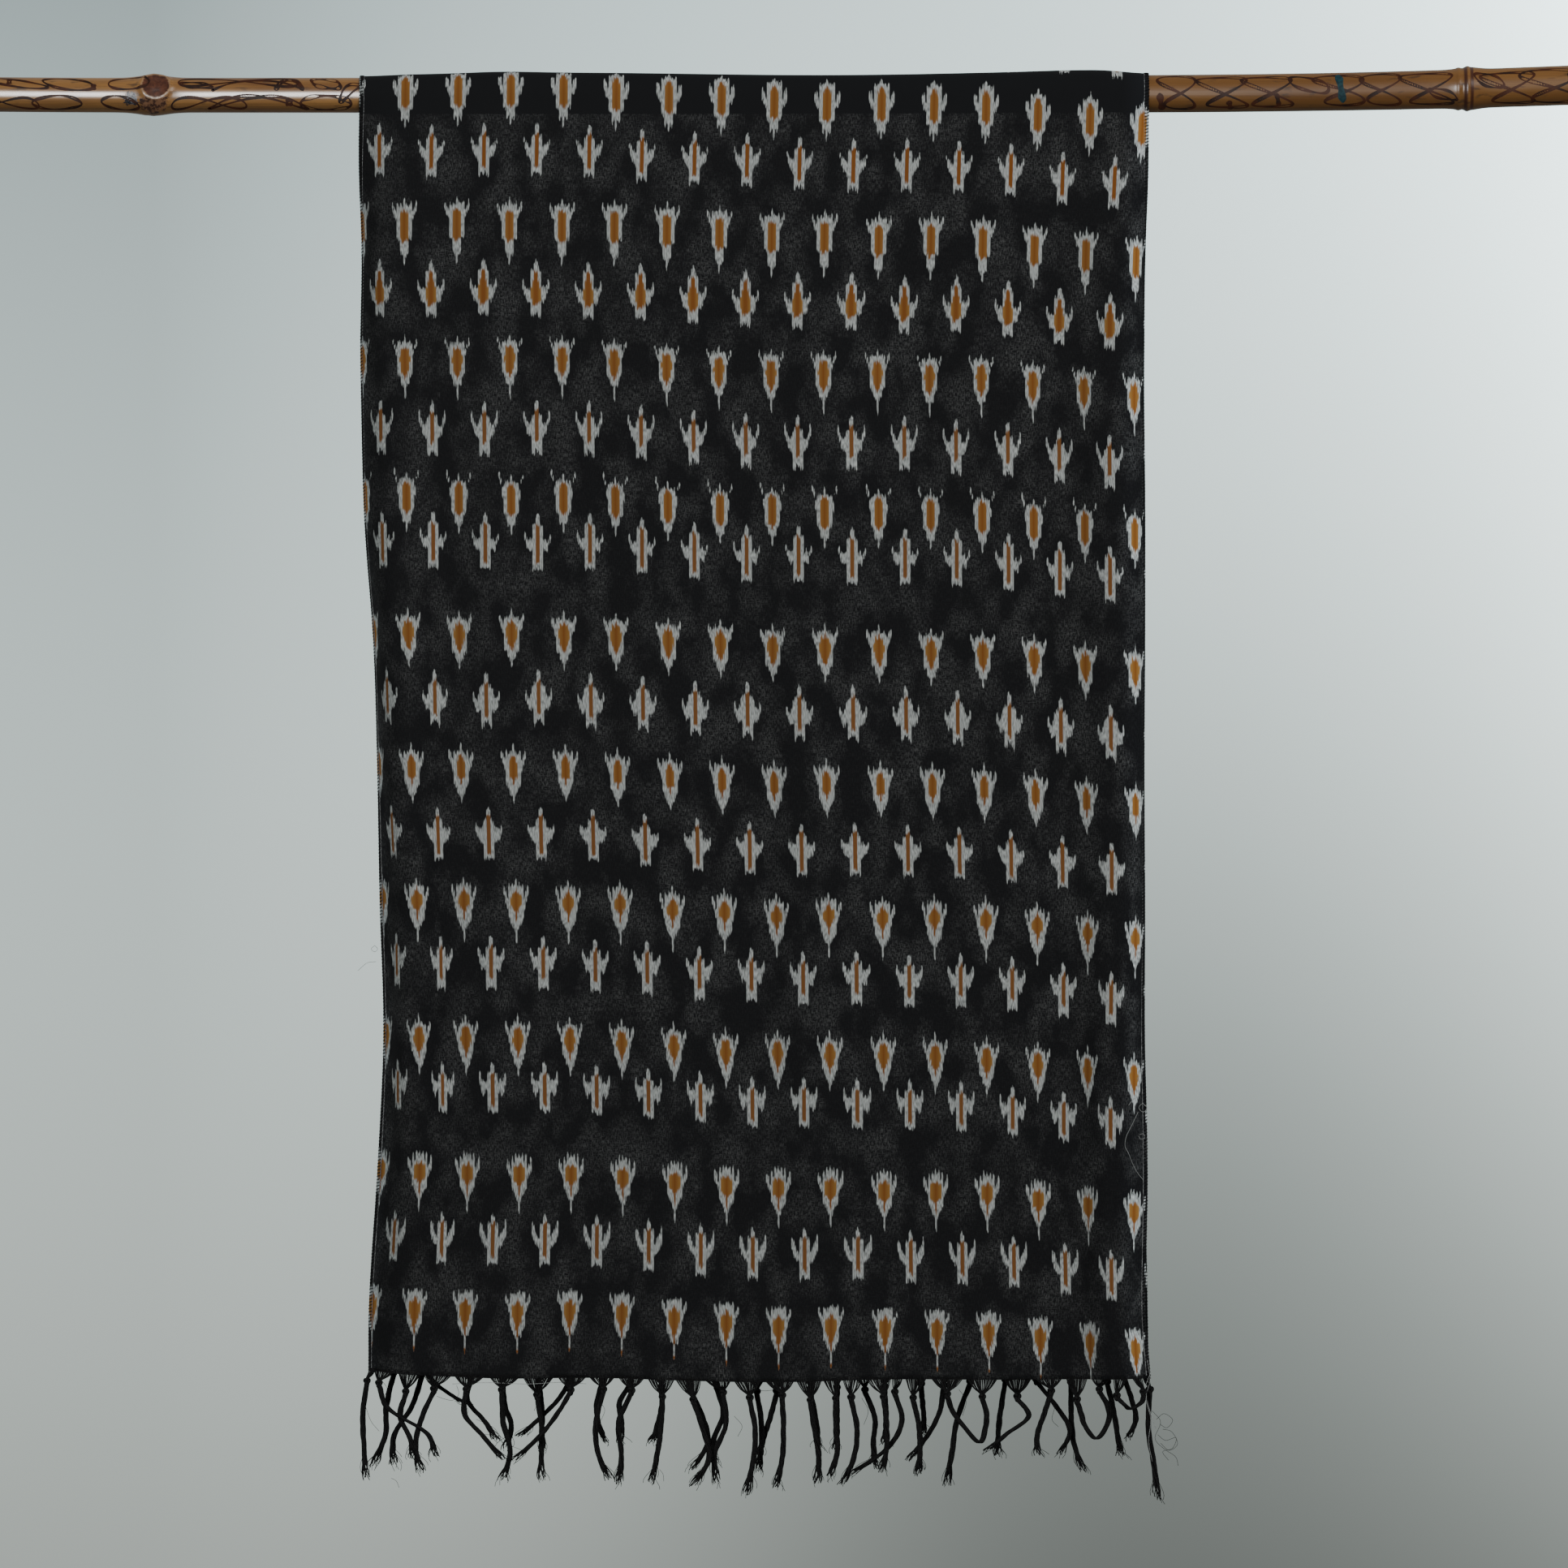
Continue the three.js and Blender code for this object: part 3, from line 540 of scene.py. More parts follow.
def loop_parts(loops, clear):
    """Closed bands on the pole, one for each row of the table.

    A point of the centre line is at x = middle + half length x cos(swings t) + slant x sin t, and at an
    angle of middle + half angle x sin(swings t + phase). The band is as wide as the row says, thinner where
    it was drawn fast, and each of its sides is put back on the pole's skin.
    """
    t = np.linspace(0, 2 * np.pi, LOOP_STATIONS, endpoint=False)
    middle, long, angle, reach, swings_x, swings_a, phase, slant, wide = (c[:, None] for c in loops.T)
    x = middle + long * np.cos(swings_x * t) + slant * np.sin(t) + 0.03 * long * np.sin(3 * t + middle)
    round_it = angle + reach * np.sin(swings_a * t + phase) + 0.05 * reach * np.sin(3 * t + angle)
    step_x = np.roll(x, -1, axis=1) - np.roll(x, 1, axis=1)
    arc = np.radians(np.roll(round_it, -1, axis=1) - np.roll(round_it, 1, axis=1)) * LOOP_RADIUS
    length = np.hypot(step_x, arc)
    half = wide / 2 * (0.8 + 1.0 * np.sin(2 * t + phase) ** 2)
    sides = []
    for edge in (1, -1):
        side_x = x - edge * half * arc / length
        side_angle = round_it + edge * np.degrees(half * step_x / length / LOOP_RADIUS)
        on_skin = pole_surface(side_x, side_angle)
        centre = np.stack([side_x, np.zeros_like(side_x), pole_axis(side_x)], axis=-1)
        sides.append(on_skin + clear * unit(on_skin - centre))
    band = np.stack(sides, axis=2)
    count, stations = x.shape
    here = np.arange(stations) * 2
    beyond = (here + 2) % (2 * stations)
    quads = np.stack([here + 1, here, beyond, beyond + 1], axis=-1)
    faces = quads + (np.arange(count) * stations * 2)[:, None, None]
    return band.reshape(-1, 3), faces.reshape(-1, 4)


scorch = speckled_material(
    "scorch",
    roughness=0.6,
    specular=0.12,
    dark=(0.018, 0.0045, 0.0015, 1),
    light=(0.060, 0.014, 0.003, 1),
    scale=90,
    detail=2,
    low=0.4,
    high=0.6,
)
teal = speckled_material(
    "teal_paint",
    roughness=0.7,
    specular=0.1,
    dark=(0.004, 0.026, 0.034, 1),
    light=(0.009, 0.045, 0.055, 1),
    scale=400,
    detail=2,
    low=0.4,
    high=0.6,
)
for name, rows, clear, finish in (
    ("scorched_loops", LOOPS, 0.06, scorch),
    ("teal_stroke", TEAL_STROKE, 0.1, teal),
):
    piece = add_mesh(name, *loop_parts(rows, clear), finish)
    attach(piece, "root")

# %% [markdown]
# ## How the cloth hangs
#
# The cloth is one sheet from hem to hem. Its section across, at a given drop below the pole, is walked
# outwards from the centre line: at each small stride the cloth climbs away from the pole by an angle, and
# the strides keep their length, so the walk narrows the cloth as real folds do. Soft waves run all across,
# a ridge stands beside each long edge, and the edge itself turns back.

# %% Tables of the falls
CLOTH_WIDTH = 575
SHEET_THICK = 0.5
CUT_IN = {-1: 8, 1: 6.5}
CUT_IN_LENGTH = 70
RIDGE_REACH = {-1: 76, 1: 60}
ROLL_REACH = {-1: 42, 1: 18}

FRONT_FOLDS = np.array(
    [  # drop, sway, draw-in, wave, left ridge, left roll, right ridge, right roll
        [0, -0.6, 0, 0, 0, 0, 0, 0],
        [95, -2.3, 0.002, 5, 5, 62, 16, 50],
        [190, -2.9, 0.004, 8, 8, 64, 18, 50],
        [290, -2.0, 0.005, 8, 10, 66, 20, 45],
        [385, -1.7, 0.005, 8, 28, 66, 20, 48],
        [480, -0.6, 0.006, 8, 36, 60, 22, 55],
        [575, 1.0, 0.008, 8, 46, 42, 27, 48],
        [673, 1.9, 0.010, 8, 46, 46, 34, 32],
        [768, 2.5, 0.013, 7, 42, 32, 36, 0],
        [863, 2.5, 0.007, 6, 28, 38, 42, 20],
        [912, 2.5, 0.004, 6, 27, 41, 38, 0],
    ]
)
BACK_FOLDS = np.array(
    [
        [0, -0.6, 0, 0, 0, 0, 0, 0],
        [95, -1.6, 0.008, 6, 34, 14, 26, 20],
        [250, -1.2, 0.011, 9, 44, 16, 36, 26],
        [450, 1.6, 0.012, 9, 50, 18, 42, 26],
        [650, 3.0, 0.014, 8, 54, 18, 44, 24],
        [800, 3.4, 0.012, 7, 48, 16, 42, 20],
        [905, 3.0, 0.010, 6, 38, 14, 38, 16],
    ]
)
# Single creases: troughs where the rise is below 0, and ridges.
FRONT_CREASES = np.array(
    [  # top across, top drop, foot across, foot drop, wide, rise
        [14, 250, 9, 820, 10, -3],
        [-138, 415, -88, 540, 9, 2],
        [-212, 60, -196, 240, 7, 0.7],
        [118, 120, 96, 330, 8, -0.7],
        [180, 420, 214, 640, 8, 0.8],
        [-60, 610, -96, 800, 7, -0.8],
        [70, 700, 104, 900, 6, 0.7],
        [-180, 690, -150, 890, 7, 0.8],
    ]
)
BACK_CREASES = np.array(
    [
        [-70, 160, -46, 720, 14, -3],
        [118, 260, 100, 830, 16, 3],
        [-190, 80, -206, 300, 8, 0.8],
        [30, 380, 12, 620, 8, -0.8],
        [196, 560, 172, 840, 7, 0.8],
    ]
)
FRONT_HEM = np.array(
    [[-288, 906], [-190, 911], [-110, 911], [0, 914], [90, 912], [200, 912], [288, 911]], dtype=float
)
BACK_HEM = np.array([[-288, 902], [-120, 905], [60, 907], [288, 904]], dtype=float)

# %% [markdown]
# Each hem's tassels are noted in a table, from left to right: where its fan of warp ends is and how wide,
# where its knot is, how the cord swings as it goes down, where its tip is, and in which lane it hangs. The
# fans also pull small puckers into the cloth just over the hem.

# %% Tables of the tassels
FRONT_TASSELS = np.array(
    [  # fan, wide, knot, neck, upper, lower, tip, long, lane
        [-270.5, 5, -275, 7, -278, -277, -276, 78, 0],
        [-262, 15, -266, 7, -259, -232, -226, 60, 1],
        [-244, 16, -247, 12, -251, -244, -241, 61, -1],
        [-224, 20, -227, 9, -236, -240, -236, 69, 0],
        [-202, 22, -204, 8, -205, -191, -177, 59, 1],
        [-177, 22, -179, 8, -178, -173, -179, 73, 0],
        [-153, 22, -154, 12, -151, -151, -151, 73, -1],
        [-129, 21, -130, 8, -140, -153, -171, 58, 2],
        [-108, 19, -107, 8, -112, -111, -102, 73, 0],
        [-87, 19, -87, 8, -96, -94, -96, 75, 1],
        [-66, 19, -65, 12, -66, -69, -73, 75, 0],
        [-47, 18, -43, 13, -36, -32, -44, 75, 1],
        [-26, 19, -22, 8, -20, -28, -27, 73, -1],
        [-5, 19, -3, 11, 1, -1, -6, 81, 0],
        [18, 21, 20, 9, 21, 20, 15, 76, 1],
        [39, 18, 40, 13, 43, 46, 44, 74, 0],
        [55, 12, 58, 12, 58, 59, 53, 69, 1],
        [70, 14, 69, 12, 73, 71, 62, 75, 0],
        [88, 18, 92, 12, 94, 94, 91, 66, 1],
        [102, 7, 100, 9, 105, 95, 68, 68, -1],
        [115, 15, 113, 13, 117, 118, 116, 69, 0],
        [137, 23, 137, 10, 141, 149, 158, 44, 1],
        [162, 22, 162, 12, 165, 164, 162, 45, 0],
        [187, 20, 187, 12, 195, 179, 164, 52, -1],
        [209, 20, 211, 8, 206, 201, 202, 55, 0],
        [229, 15, 229, 14, 232, 235, 241, 42, 1],
        [246, 14, 245, 7, 251, 251, 245, 42, -1],
        [260, 10, 257, 11, 260, 263, 266, 21, 1],
        [271, 7, 276, 9, 276, 274, 268, 21, 0],
        [278, 5, 281, 8, 280, 284, 287, 87, -1],
    ],
    dtype=float,
)
# These neighbours run into one another at their tips, as loops.
FRONT_LOOPS = [(21, 22), (25, 26), (27, 28)]
BACK_TASSELS = np.array(
    [
        [-256, 14, -257, 7, -262, -263, -273, 74, 1],
        [-238, 15, -237, 7, -244, -257, -257, 73, 0],
        [-222, 12, -232, 7, -226, -217, -207, 28, -1],
        [-201, 21, -202, 9, -204, -192, -182, 54, 1],
        [-177, 21, -179, 9, -178, -173, -178, 60, 0],
        [-153, 21, -153, 12, -151, -151, -151, 60, 1],
        [-130, 20, -131, 9, -140, -153, -168, 50, -1],
        [-108, 20, -108, 9, -112, -111, -105, 54, 0],
        [-87, 20, -88, 9, -96, -94, -96, 54, 1],
        [-67, 17, -66, 13, -66, -69, -73, 54, 0],
        [-48, 16, -46, 12, -37, -33, -45, 72, 1],
        [-31, 16, -27, 11, -22, -29, -28, 70, 0],
        [2, 16, 2, 15, 5, 5, 3, 73, 1],
        [20, 15, 16, 15, 12, 7, 3, 63, -1],
        [41, 20, 40, 13, 43, 45, 46, 57, 0],
        [59, 12, 59, 12, 59, 59, 58, 57, 1],
        [77, 15, 79, 14, 86, 85, 87, 71, 0],
        [94, 14, 93, 12, 94, 94, 93, 54, -1],
        [119, 19, 119, 10, 120, 121, 120, 47, 0],
        [138, 15, 135, 11, 132, 123, 109, 65, 1],
        [156, 18, 154, 9, 145, 141, 137, 84, -1],
        [179, 20, 179, 8, 176, 174, 173, 63, 0],
        [200, 19, 201, 8, 215, 225, 217, 62, 1],
        [225, 20, 226, 11, 226, 228, 235, 75, -1],
        [246, 16, 252, 11, 256, 259, 262, 65, 0],
        [263, 9, 264, 8, 269, 272, 266, 52, 1],
    ],
    dtype=float,
)
FRONT = {
    "side": -1,
    "drop": 912,
    "folds": FRONT_FOLDS,
    "creases": FRONT_CREASES,
    "hem": FRONT_HEM,
    "tassels": FRONT_TASSELS,
    "loops": FRONT_LOOPS,
    "period": 118,
    "phase": 0.6,
}
BACK = {
    "side": 1,
    "drop": 905,
    "folds": BACK_FOLDS,
    "creases": BACK_CREASES,
    "hem": BACK_HEM,
    "tassels": BACK_TASSELS,
    "loops": [],
    "period": 131,
    "phase": -0.5,
}

# %% [markdown]
# A fall is a grid of such sections, from the pole down to the hem, with the single creases and the fans'
# puckers added to its lift. The stretch on the pole is a grid of its own, and the three grids are joined
# into one sheet.

# %% The cloth's middle surface
# A half section is kept as HALF_STEPS steps, and the walk takes FINE strides for each of them.
HALF_STEPS = 52
FINE = 6
PUCKER = 0.9
PUCKER_REACH = 16
CREST_SLACK, CREST_SWELL, CREST_PERIOD, CREST_SHIFT = 1.4, 1.1, 400, 140
CREST_EDGE, CREST_FADE = 286, 45
CREST_RADIUS = 13.5
FRONT_ROWS, CREST_ROWS, BACK_ROWS = 212, 14, 178


def cloth_radius(x):
    """Radius of the sheet's middle on the pole. It bridges the nodes over a longer stretch than they have."""
    return smooth_table(POLE_LINE, 2, x) + node_rise(x, 2.2) + 0.8


def walk_to_edge(fall, drops, side):
    """Sections from the centre line to one long edge, as across, x and lift at each drop and step.

    The angle of climb, in degrees, is the waves' sine, plus the ridge's sine over its reach, less the roll,
    which eases in towards the edge. A stride goes its cosine sideways, less the draw-in, and its sine away
    from the pole.
    """
    _, sway, draw_in, wave = (smooth_table(fall["folds"], k, drops)[:, None] for k in range(4))
    ridge_column, roll_column = (4, 5) if side < 0 else (6, 7)
    ridge = smooth_table(fall["folds"], ridge_column, drops)[:, None]
    roll = smooth_table(fall["folds"], roll_column, drops)[:, None]
    edge = CLOTH_WIDTH / 2 - CUT_IN[side] * np.exp(-((drops / CUT_IN_LENGTH) ** 2))[:, None]
    strides = HALF_STEPS * FINE
    share = (np.arange(strides) + 0.5) / strides
    from_edge = edge * (1 - share)
    across = side * edge * share
    climb = side * wave * np.sin(2 * np.pi * across / fall["period"] + fall["phase"])
    on_ridge = from_edge < RIDGE_REACH[side]
    climb += ridge * np.where(on_ridge, np.sin(2 * np.pi * (1 - from_edge / RIDGE_REACH[side])), 0)
    climb -= roll * ease(1 - from_edge / ROLL_REACH[side])
    stride = edge / strides
    sideways = np.cumsum(stride * np.cos(np.radians(climb)) * (1 - draw_in), axis=1)[:, FINE - 1 :: FINE]
    away = np.cumsum(stride * np.sin(np.radians(climb)), axis=1)[:, FINE - 1 :: FINE]
    start = np.zeros_like(sideways[:, :1])
    x = sway + side * np.concatenate([start, sideways], axis=1)
    lift = np.concatenate([start, away], axis=1)
    return side * edge * np.arange(HALF_STEPS + 1) / HALF_STEPS, x, lift


def crease_rise(fall, across, drops):
    """Lift of the single creases: a sine along each one's line times a bell across it."""
    rise = np.zeros_like(across)
    for top_x, top_z, foot_x, foot_z, wide, high in fall["creases"]:
        line = np.array([foot_x - top_x, foot_z - top_z])
        length = np.hypot(*line)
        dx = across - top_x
        dz = drops[:, None] - top_z
        along = (dx * line[0] + dz * line[1]) / length**2
        aside = (dx * line[1] - dz * line[0]) / length
        inside = (along > 0) & (along < 1)
        rise += np.where(inside, high * np.sin(np.pi * along) * np.exp(-((aside / wide) ** 2)), 0)
    return rise


def pucker_rise(fall, x, drops):
    """Small puckers over the hem: each tassel lifts the cloth 0.9 mm over its fan, less and less going up."""
    fans = fall["tassels"][:, 0]
    wide = fall["tassels"][:, 1]
    bells = np.exp(-(((x[..., None] - fans) / (0.3 * wide)) ** 2)).sum(axis=-1)
    return PUCKER * (bells - 0.5) * np.exp(-(fall["drop"] - drops[:, None]) / PUCKER_REACH)


def fall_grid(fall, drops):
    """Points of one fall, as (drop, step, 3), and the flat cloth's place across at each of them."""
    across_left, x_left, lift_left = walk_to_edge(fall, drops, -1)
    across_right, x_right, lift_right = walk_to_edge(fall, drops, 1)
    across = np.concatenate([across_left[:, :0:-1], across_right], axis=1)
    x = np.concatenate([x_left[:, :0:-1], x_right], axis=1)
    lift = np.concatenate([lift_left[:, :0:-1], lift_right], axis=1)
    lift = lift + crease_rise(fall, across, drops) + pucker_rise(fall, x, drops)
    share = (drops / fall["drop"])[:, None]
    hem = smooth_table(fall["hem"], 1, across)
    z = (1 - share) * (pole_axis(x) - 0.5) - share * hem
    return np.stack([x, fall["side"] * (cloth_radius(x) + lift), z], axis=-1), across


def crest_grid(angles):
    """Points of the stretch on the pole, at angles in degrees from the front over the top to the back.

    The stiff cotton doesn't hug the pole: on top it stands off by a slack that swells and shrinks along the
    pole and is gone at both edges. To either side of the top it is less, by the angle's cosine squared.
    """
    points, across = fall_grid(FRONT, np.zeros(1))
    x = np.broadcast_to(points[:, :, 0], (len(angles), points.shape[1]))
    turn = np.radians(angles)[:, None]
    slack = CREST_SLACK + CREST_SWELL * np.cos(2 * np.pi * (x + CREST_SHIFT) / CREST_PERIOD)
    slack *= ease((CREST_EDGE - np.abs(x)) / CREST_FADE)
    radius = cloth_radius(x) + slack * np.cos(turn) ** 2
    y = radius * np.sin(turn)
    z = pole_axis(x) + radius * np.cos(turn)
    return np.stack([x, y, z], axis=-1), np.broadcast_to(across, x.shape)


front_drops = np.linspace(FRONT["drop"], 0, FRONT_ROWS)
back_drops = np.linspace(0, BACK["drop"], BACK_ROWS)
crest_angles = np.linspace(-90, 90, CREST_ROWS + 2)[1:-1]
front_points, front_across = fall_grid(FRONT, front_drops)
crest_points, crest_across = crest_grid(crest_angles)
back_points, back_across = fall_grid(BACK, back_drops)
crest_length = math.pi * CREST_RADIUS
sheet = np.concatenate([front_points, crest_points, back_points])
sheet_across = np.concatenate([front_across, crest_across, back_across])
sheet_drop = np.concatenate(
    [front_drops, -(crest_angles + 90) / 180 * crest_length, -crest_length - back_drops]
)
print("cloth from hem to hem:", round(front_drops[0] + crest_length + back_drops[-1]), "mm")

# %% [markdown]
# ## The ikat pattern
#
# In a warp ikat, bundles of warp yarn are tied off and dyed before weaving, and each motif is a stepped
# figure of bundle ends that never quite line up. Two motifs take turns down the cloth: a shield with ears
# and a tail, and a cross with horns and two legs, in columns half a pitch apart. The rows drift, because
# the weaver's tension did. So the mesh carries two sets of texture coordinates, one for each motif. Both
# count columns across and rows down, with a whole number at each motif's centre.

# %% Texture coordinates of the cloth
COLUMN_PITCH = 37.42
ROW_PITCH = 95.6
FIRST_COLUMN = -246.8
SHIELD_ROWS = [7.8, 99.9, 195, 291.2, 390.8, 485.9, 578, 676, 772.8, 870.7]
CROSS_ROWS = [46.4, 141.4, 238.2, 317.7, 432.3, 529.1, 619.5, 707.7, 814.2, 962]
CROSS_SHIFT = 0.505
FIRST_GAP_LESS = 4
ROW_HOLD = 29
# How far the columns have slipped down, and how far they sit to the right, at places across the cloth.
SLIP = np.array(
    [
        [-288, 0, 0],
        [-200, 0, 0],
        [-135, 0, 0],
        [-60, 4, 0],
        [14, 8, 0],
        [52, 9, 0],
        [90, 10.4, 1.4],
        [165, 13, 0.8],
        [202, 17, 0.3],
        [239, 21.5, 0],
        [288, 28, 0],
    ]
)


def row_count(drop, rows):
    """Rows counted down the cloth, 1 at the first row's centre.

    Within ROW_HOLD of each centre the count runs at the true pitch, so that no motif is stretched, and the
    gaps between the rows take up the rest. Before the first row, which is over the pole and down the back,
    and after the last one, the rows are a true pitch apart. Only the first of these gaps is shorter.
    """
    numbers = np.arange(-12, len(rows) + 3)
    above = rows[0] + (numbers - 1) * ROW_PITCH + FIRST_GAP_LESS
    below = rows[-1] + (numbers - len(rows)) * ROW_PITCH
    inside = np.interp(numbers, np.arange(1, len(rows) + 1), rows)
    centres = np.where(numbers < 1, above, np.where(numbers > len(rows), below, inside))
    around = np.array([-ROW_HOLD, ROW_HOLD])
    places = (centres[:, None] + around).ravel()
    counts = (numbers[:, None] + around / ROW_PITCH).ravel()
    return np.interp(drop, places, counts)


slipped = sheet_drop[:, None] - smooth_table(SLIP, 1, sheet_across)
columns = (sheet_across - FIRST_COLUMN - smooth_table(SLIP, 2, sheet_across)) / COLUMN_PITCH + 1
uv_sets = {
    "cloth": np.stack([sheet_across * MM, sheet_drop[:, None] * MM + 0 * sheet_across], axis=-1),
    "shields": np.stack([columns, row_count(slipped, SHIELD_ROWS)], axis=-1),
    "crosses": np.stack([columns - CROSS_SHIFT, row_count(slipped, CROSS_ROWS)], axis=-1),
}

# %% [markdown]
# A motif's chart gives, for each bundle from the middle outwards, how far its white reaches above and below
# the centre in millimetres, and the same for the orange inside it. The figures change a little from row to
# row, so each row has a chart of its own. The material looks the bundle up in a colour ramp with one flat
# step for each, whose four channels hold the four heights. Then it shifts each bundle and each thread by
# chance, which gives the ragged spikes that ikat is known for.

# %% Charts of the motifs
BUNDLES = 8
SHIELD_CHARTS = [
    [  # white up to, white down to, orange up to, orange down to
        [31, 27.5, 27, 25, 26, 15, 19, 21.5],
        [-15, -10, -10, -2.5, -2.5, 6, 7, 11],
        [22, 21.5, 19],
        [0, 0.5, 1.5],
    ],
    [
        [27, 23.5, 23.5, 23, 24, 19, 21, 24],
        [-21, -14.5, -13.5, -3.5, -2.5, 12, 14, 18],
        [17.5, 17, 16],
        [-4, -3, -2],
    ],
    [
        [24, 20.5, 20.5, 20.5, 21, 16, 19, 23],
        [-21.5, -11.5, -11, -5.5, -4.5, 9.5, 13.5, 17.5],
        [15, 15, 14, 9],
        [-6, -3.5, -0.5, 5],
    ],
    [
        [22.5, 17, 17.5, 17.5, 17, 13, 20, 24],
        [-21, -15.5, -14.5, -8.5, -6.5, 4.5, 15.5, 17.5],
        [14.5, 14, 12.5],
        [-7.5, -7, -5.5],
    ],
    [
        [25, 21, 20, 20, 20.5, 17, 20, 22.5],
        [-18, -11.5, -10.5, -6, -5, 8, 11, 15],
        [17, 15, 14.5, 11],
        [-4.5, -2.5, 1, 4.5],
    ],
    [
        [24.5, 19.5, 20, 17.5, 19, 14, 17, 20],
        [-18, -14.5, -12, -7.5, -6, 4, 8.5, 11.5],
        [15, 14, 11.5],
        [-5, -0.5, 1.5],
    ],
    [
        [21, 17, 17.5, 16, 17.5, 9, 13, 16.5],
        [-24.5, -16, -14.5, -11.5, -9, -1, 4, 7.5],
        [13, 11, 9.5, 7.5],
        [-9, -2, 0, 2.5],
    ],
    [
        [22.5, 17, 18, 15.5, 15, 11, 14, 18],
        [-22, -16, -13.5, -9.5, -6, 2, 6, 9.5],
        [12.5, 12.5, 11, 7],
        [-8, -3.5, -1, 2.5],
    ],
    [
        [21, 19, 20.5, 16, 20, 11, 14.5, 18],
        [-22, -14, -10.5, -7, -5, 2.5, 6, 8],
        [12, 12, 11.5, 10],
        [-9, -1.5, 0, 2],
    ],
    [
        [23, 21.5, 21, 20.5, 21, 14.5, 17.5, 20.5],
        [-24, -12.5, -11, -7, -5.5, 6, 9.5, 12],
        [15, 13, 11.5, 10.5],
        [-9.5, -4.5, 0.5, 3.5],
    ],
]
CROSS_CHARTS = [
    [
        [27, 19, 18, 10.5, 11, 12, 13, 16.5],
        [-10.5, -11.5, -12, -0.5, 1, 1.5, 4.5, 10.5],
        [18],
        [-4],
    ],
    [
        [24, 19, 17.5, 6, 6, 5, 7, 10.5],
        [-14.5, -16, -16.5, -6.5, -6, -4.5, -0.5, 2.5],
        [15.5, 9, 4],
        [-7.5, -6.5, -4],
    ],
    [
        [20.5, 11.5, 11, 5.5, 5.5, 6, 9, 15],
        [-16, -18, -18.5, -5.5, -5, -4, 1, 5.5],
        [12.5],
        [-8.5],
    ],
    [
        [21, 13.5, 13, 3.5, 4, 2.5, 4, 7.5],
        [-19, -20, -20.5, -6, -7, -6, -2.5, 0],
        [12],
        [-14],
    ],
    [
        [23, 15, 14.5, 12, 8, 4.5, 5.5, 9.5],
        [-14, -15, -17, -5.5, -5, -5.5, -2.5, 1],
        [14.5],
        [-8.5],
    ],
    [
        [22, 15, 15, 8.5, 8, 8, 9, 10.5],
        [-15, -15.5, -16, -3.5, -3.5, -2, 0, 2.5],
        [15.5],
        [-11],
    ],
    [
        [21, 14, 13.5, 8.5, 9, 9, 11, 14],
        [-15, -16.5, -18, -2, -3, -2.5, 2, 4.5],
        [13],
        [-9],
    ],
    [
        [20, 13, 12.5, 7.5, 8.5, 8, 8, 13.5],
        [-17, -15, -15.5, -1.5, -2, -4.5, -3, 2.5],
        [11],
        [-10.5],
    ],
    [
        [19, 12.5, 12.5, 3, 5.5, 8, 11, 14.5],
        [-16.5, -18, -19, -5, -4.5, -3.5, -0.5, 2.5],
        [12],
        [-11],
    ],
]
# The heights are kept in a ramp as shares of this range, and where there is no orange its top lies under
# its foot.
LOWEST, HIGHEST = -32, 32
RAMP_CHARTS = 4

# %% [markdown]
# The material counts bundles outwards from the middle of a motif and looks up the four heights of the
# bundle. Each end of a bundle narrows to a spike. The white ends over EDGE and the orange over FADE, both
# in millimetres.

# %% Reading the charts
SPIKE = 4
EDGE = 0.7
FADE = 1.5


def chart_ramp(tree, charts, place):
    """The four heights at a place in a few charts, as shares of the range from the lowest to the highest."""
    node = tree.nodes.new("ShaderNodeValToRGB")
    node.color_ramp.interpolation = "CONSTANT"
    stops = node.color_ramp.elements
    for number in range(len(charts) * BUNDLES):
        chart = charts[number // BUNDLES]
        bundle = number % BUNDLES
        ends = (HIGHEST, LOWEST, LOWEST, HIGHEST)
        heights = [line[bundle] if bundle < len(line) else end for line, end in zip(chart, ends)]
        position = number / (len(charts) * BUNDLES)
        stop = stops[number] if number < 2 else stops.new(position)
        stop.position = position
        stop.color = [(height - LOWEST) / (HIGHEST - LOWEST) for height in heights]
    feed(tree, node.inputs[0], place)
    return (*parts_of(tree, node.outputs["Color"]), node.outputs["Alpha"])


def chart_heights(tree, charts, kind, outwards):
    """White top and foot and orange top and foot, in millimetres, of a bundle in a kind of motif.

    A ramp holds 32 steps at most, so every four charts share one. A later ramp takes over from the ones
    before it at its first kind.
    """
    shares = [0.0, 0.0, 0.0, 0.0]
    for first in range(0, len(charts), RAMP_CHARTS):
        group = charts[first : first + RAMP_CHARTS]
        in_group = sums(tree, "SUBTRACT", kind, first)
        place = sums(tree, "MULTIPLY_ADD", in_group, BUNDLES, sums(tree, "ADD", outwards, 0.5))
        found = chart_ramp(tree, group, sums(tree, "DIVIDE", place, BUNDLES * len(group)))
        reached = sums(tree, "GREATER_THAN", kind, first - 0.5)
        changes = [sums(tree, "SUBTRACT", new, old) for old, new in zip(shares, found)]
        shares = [sums(tree, "MULTIPLY_ADD", change, reached, old) for change, old in zip(changes, shares)]
    return [sums(tree, "MULTIPLY_ADD", share, HIGHEST - LOWEST, LOWEST) for share in shares]


def band(tree, up, top, foot, soft):
    """1 where up lies between foot and top, in millimetres, and fading to 0 over the soft distance."""
    under = sums(tree, "DIVIDE", sums(tree, "SUBTRACT", top, up), soft, clamp=True)
    over = sums(tree, "DIVIDE", sums(tree, "SUBTRACT", up, foot), soft, clamp=True)
    return sums(tree, "MULTIPLY", under, over)


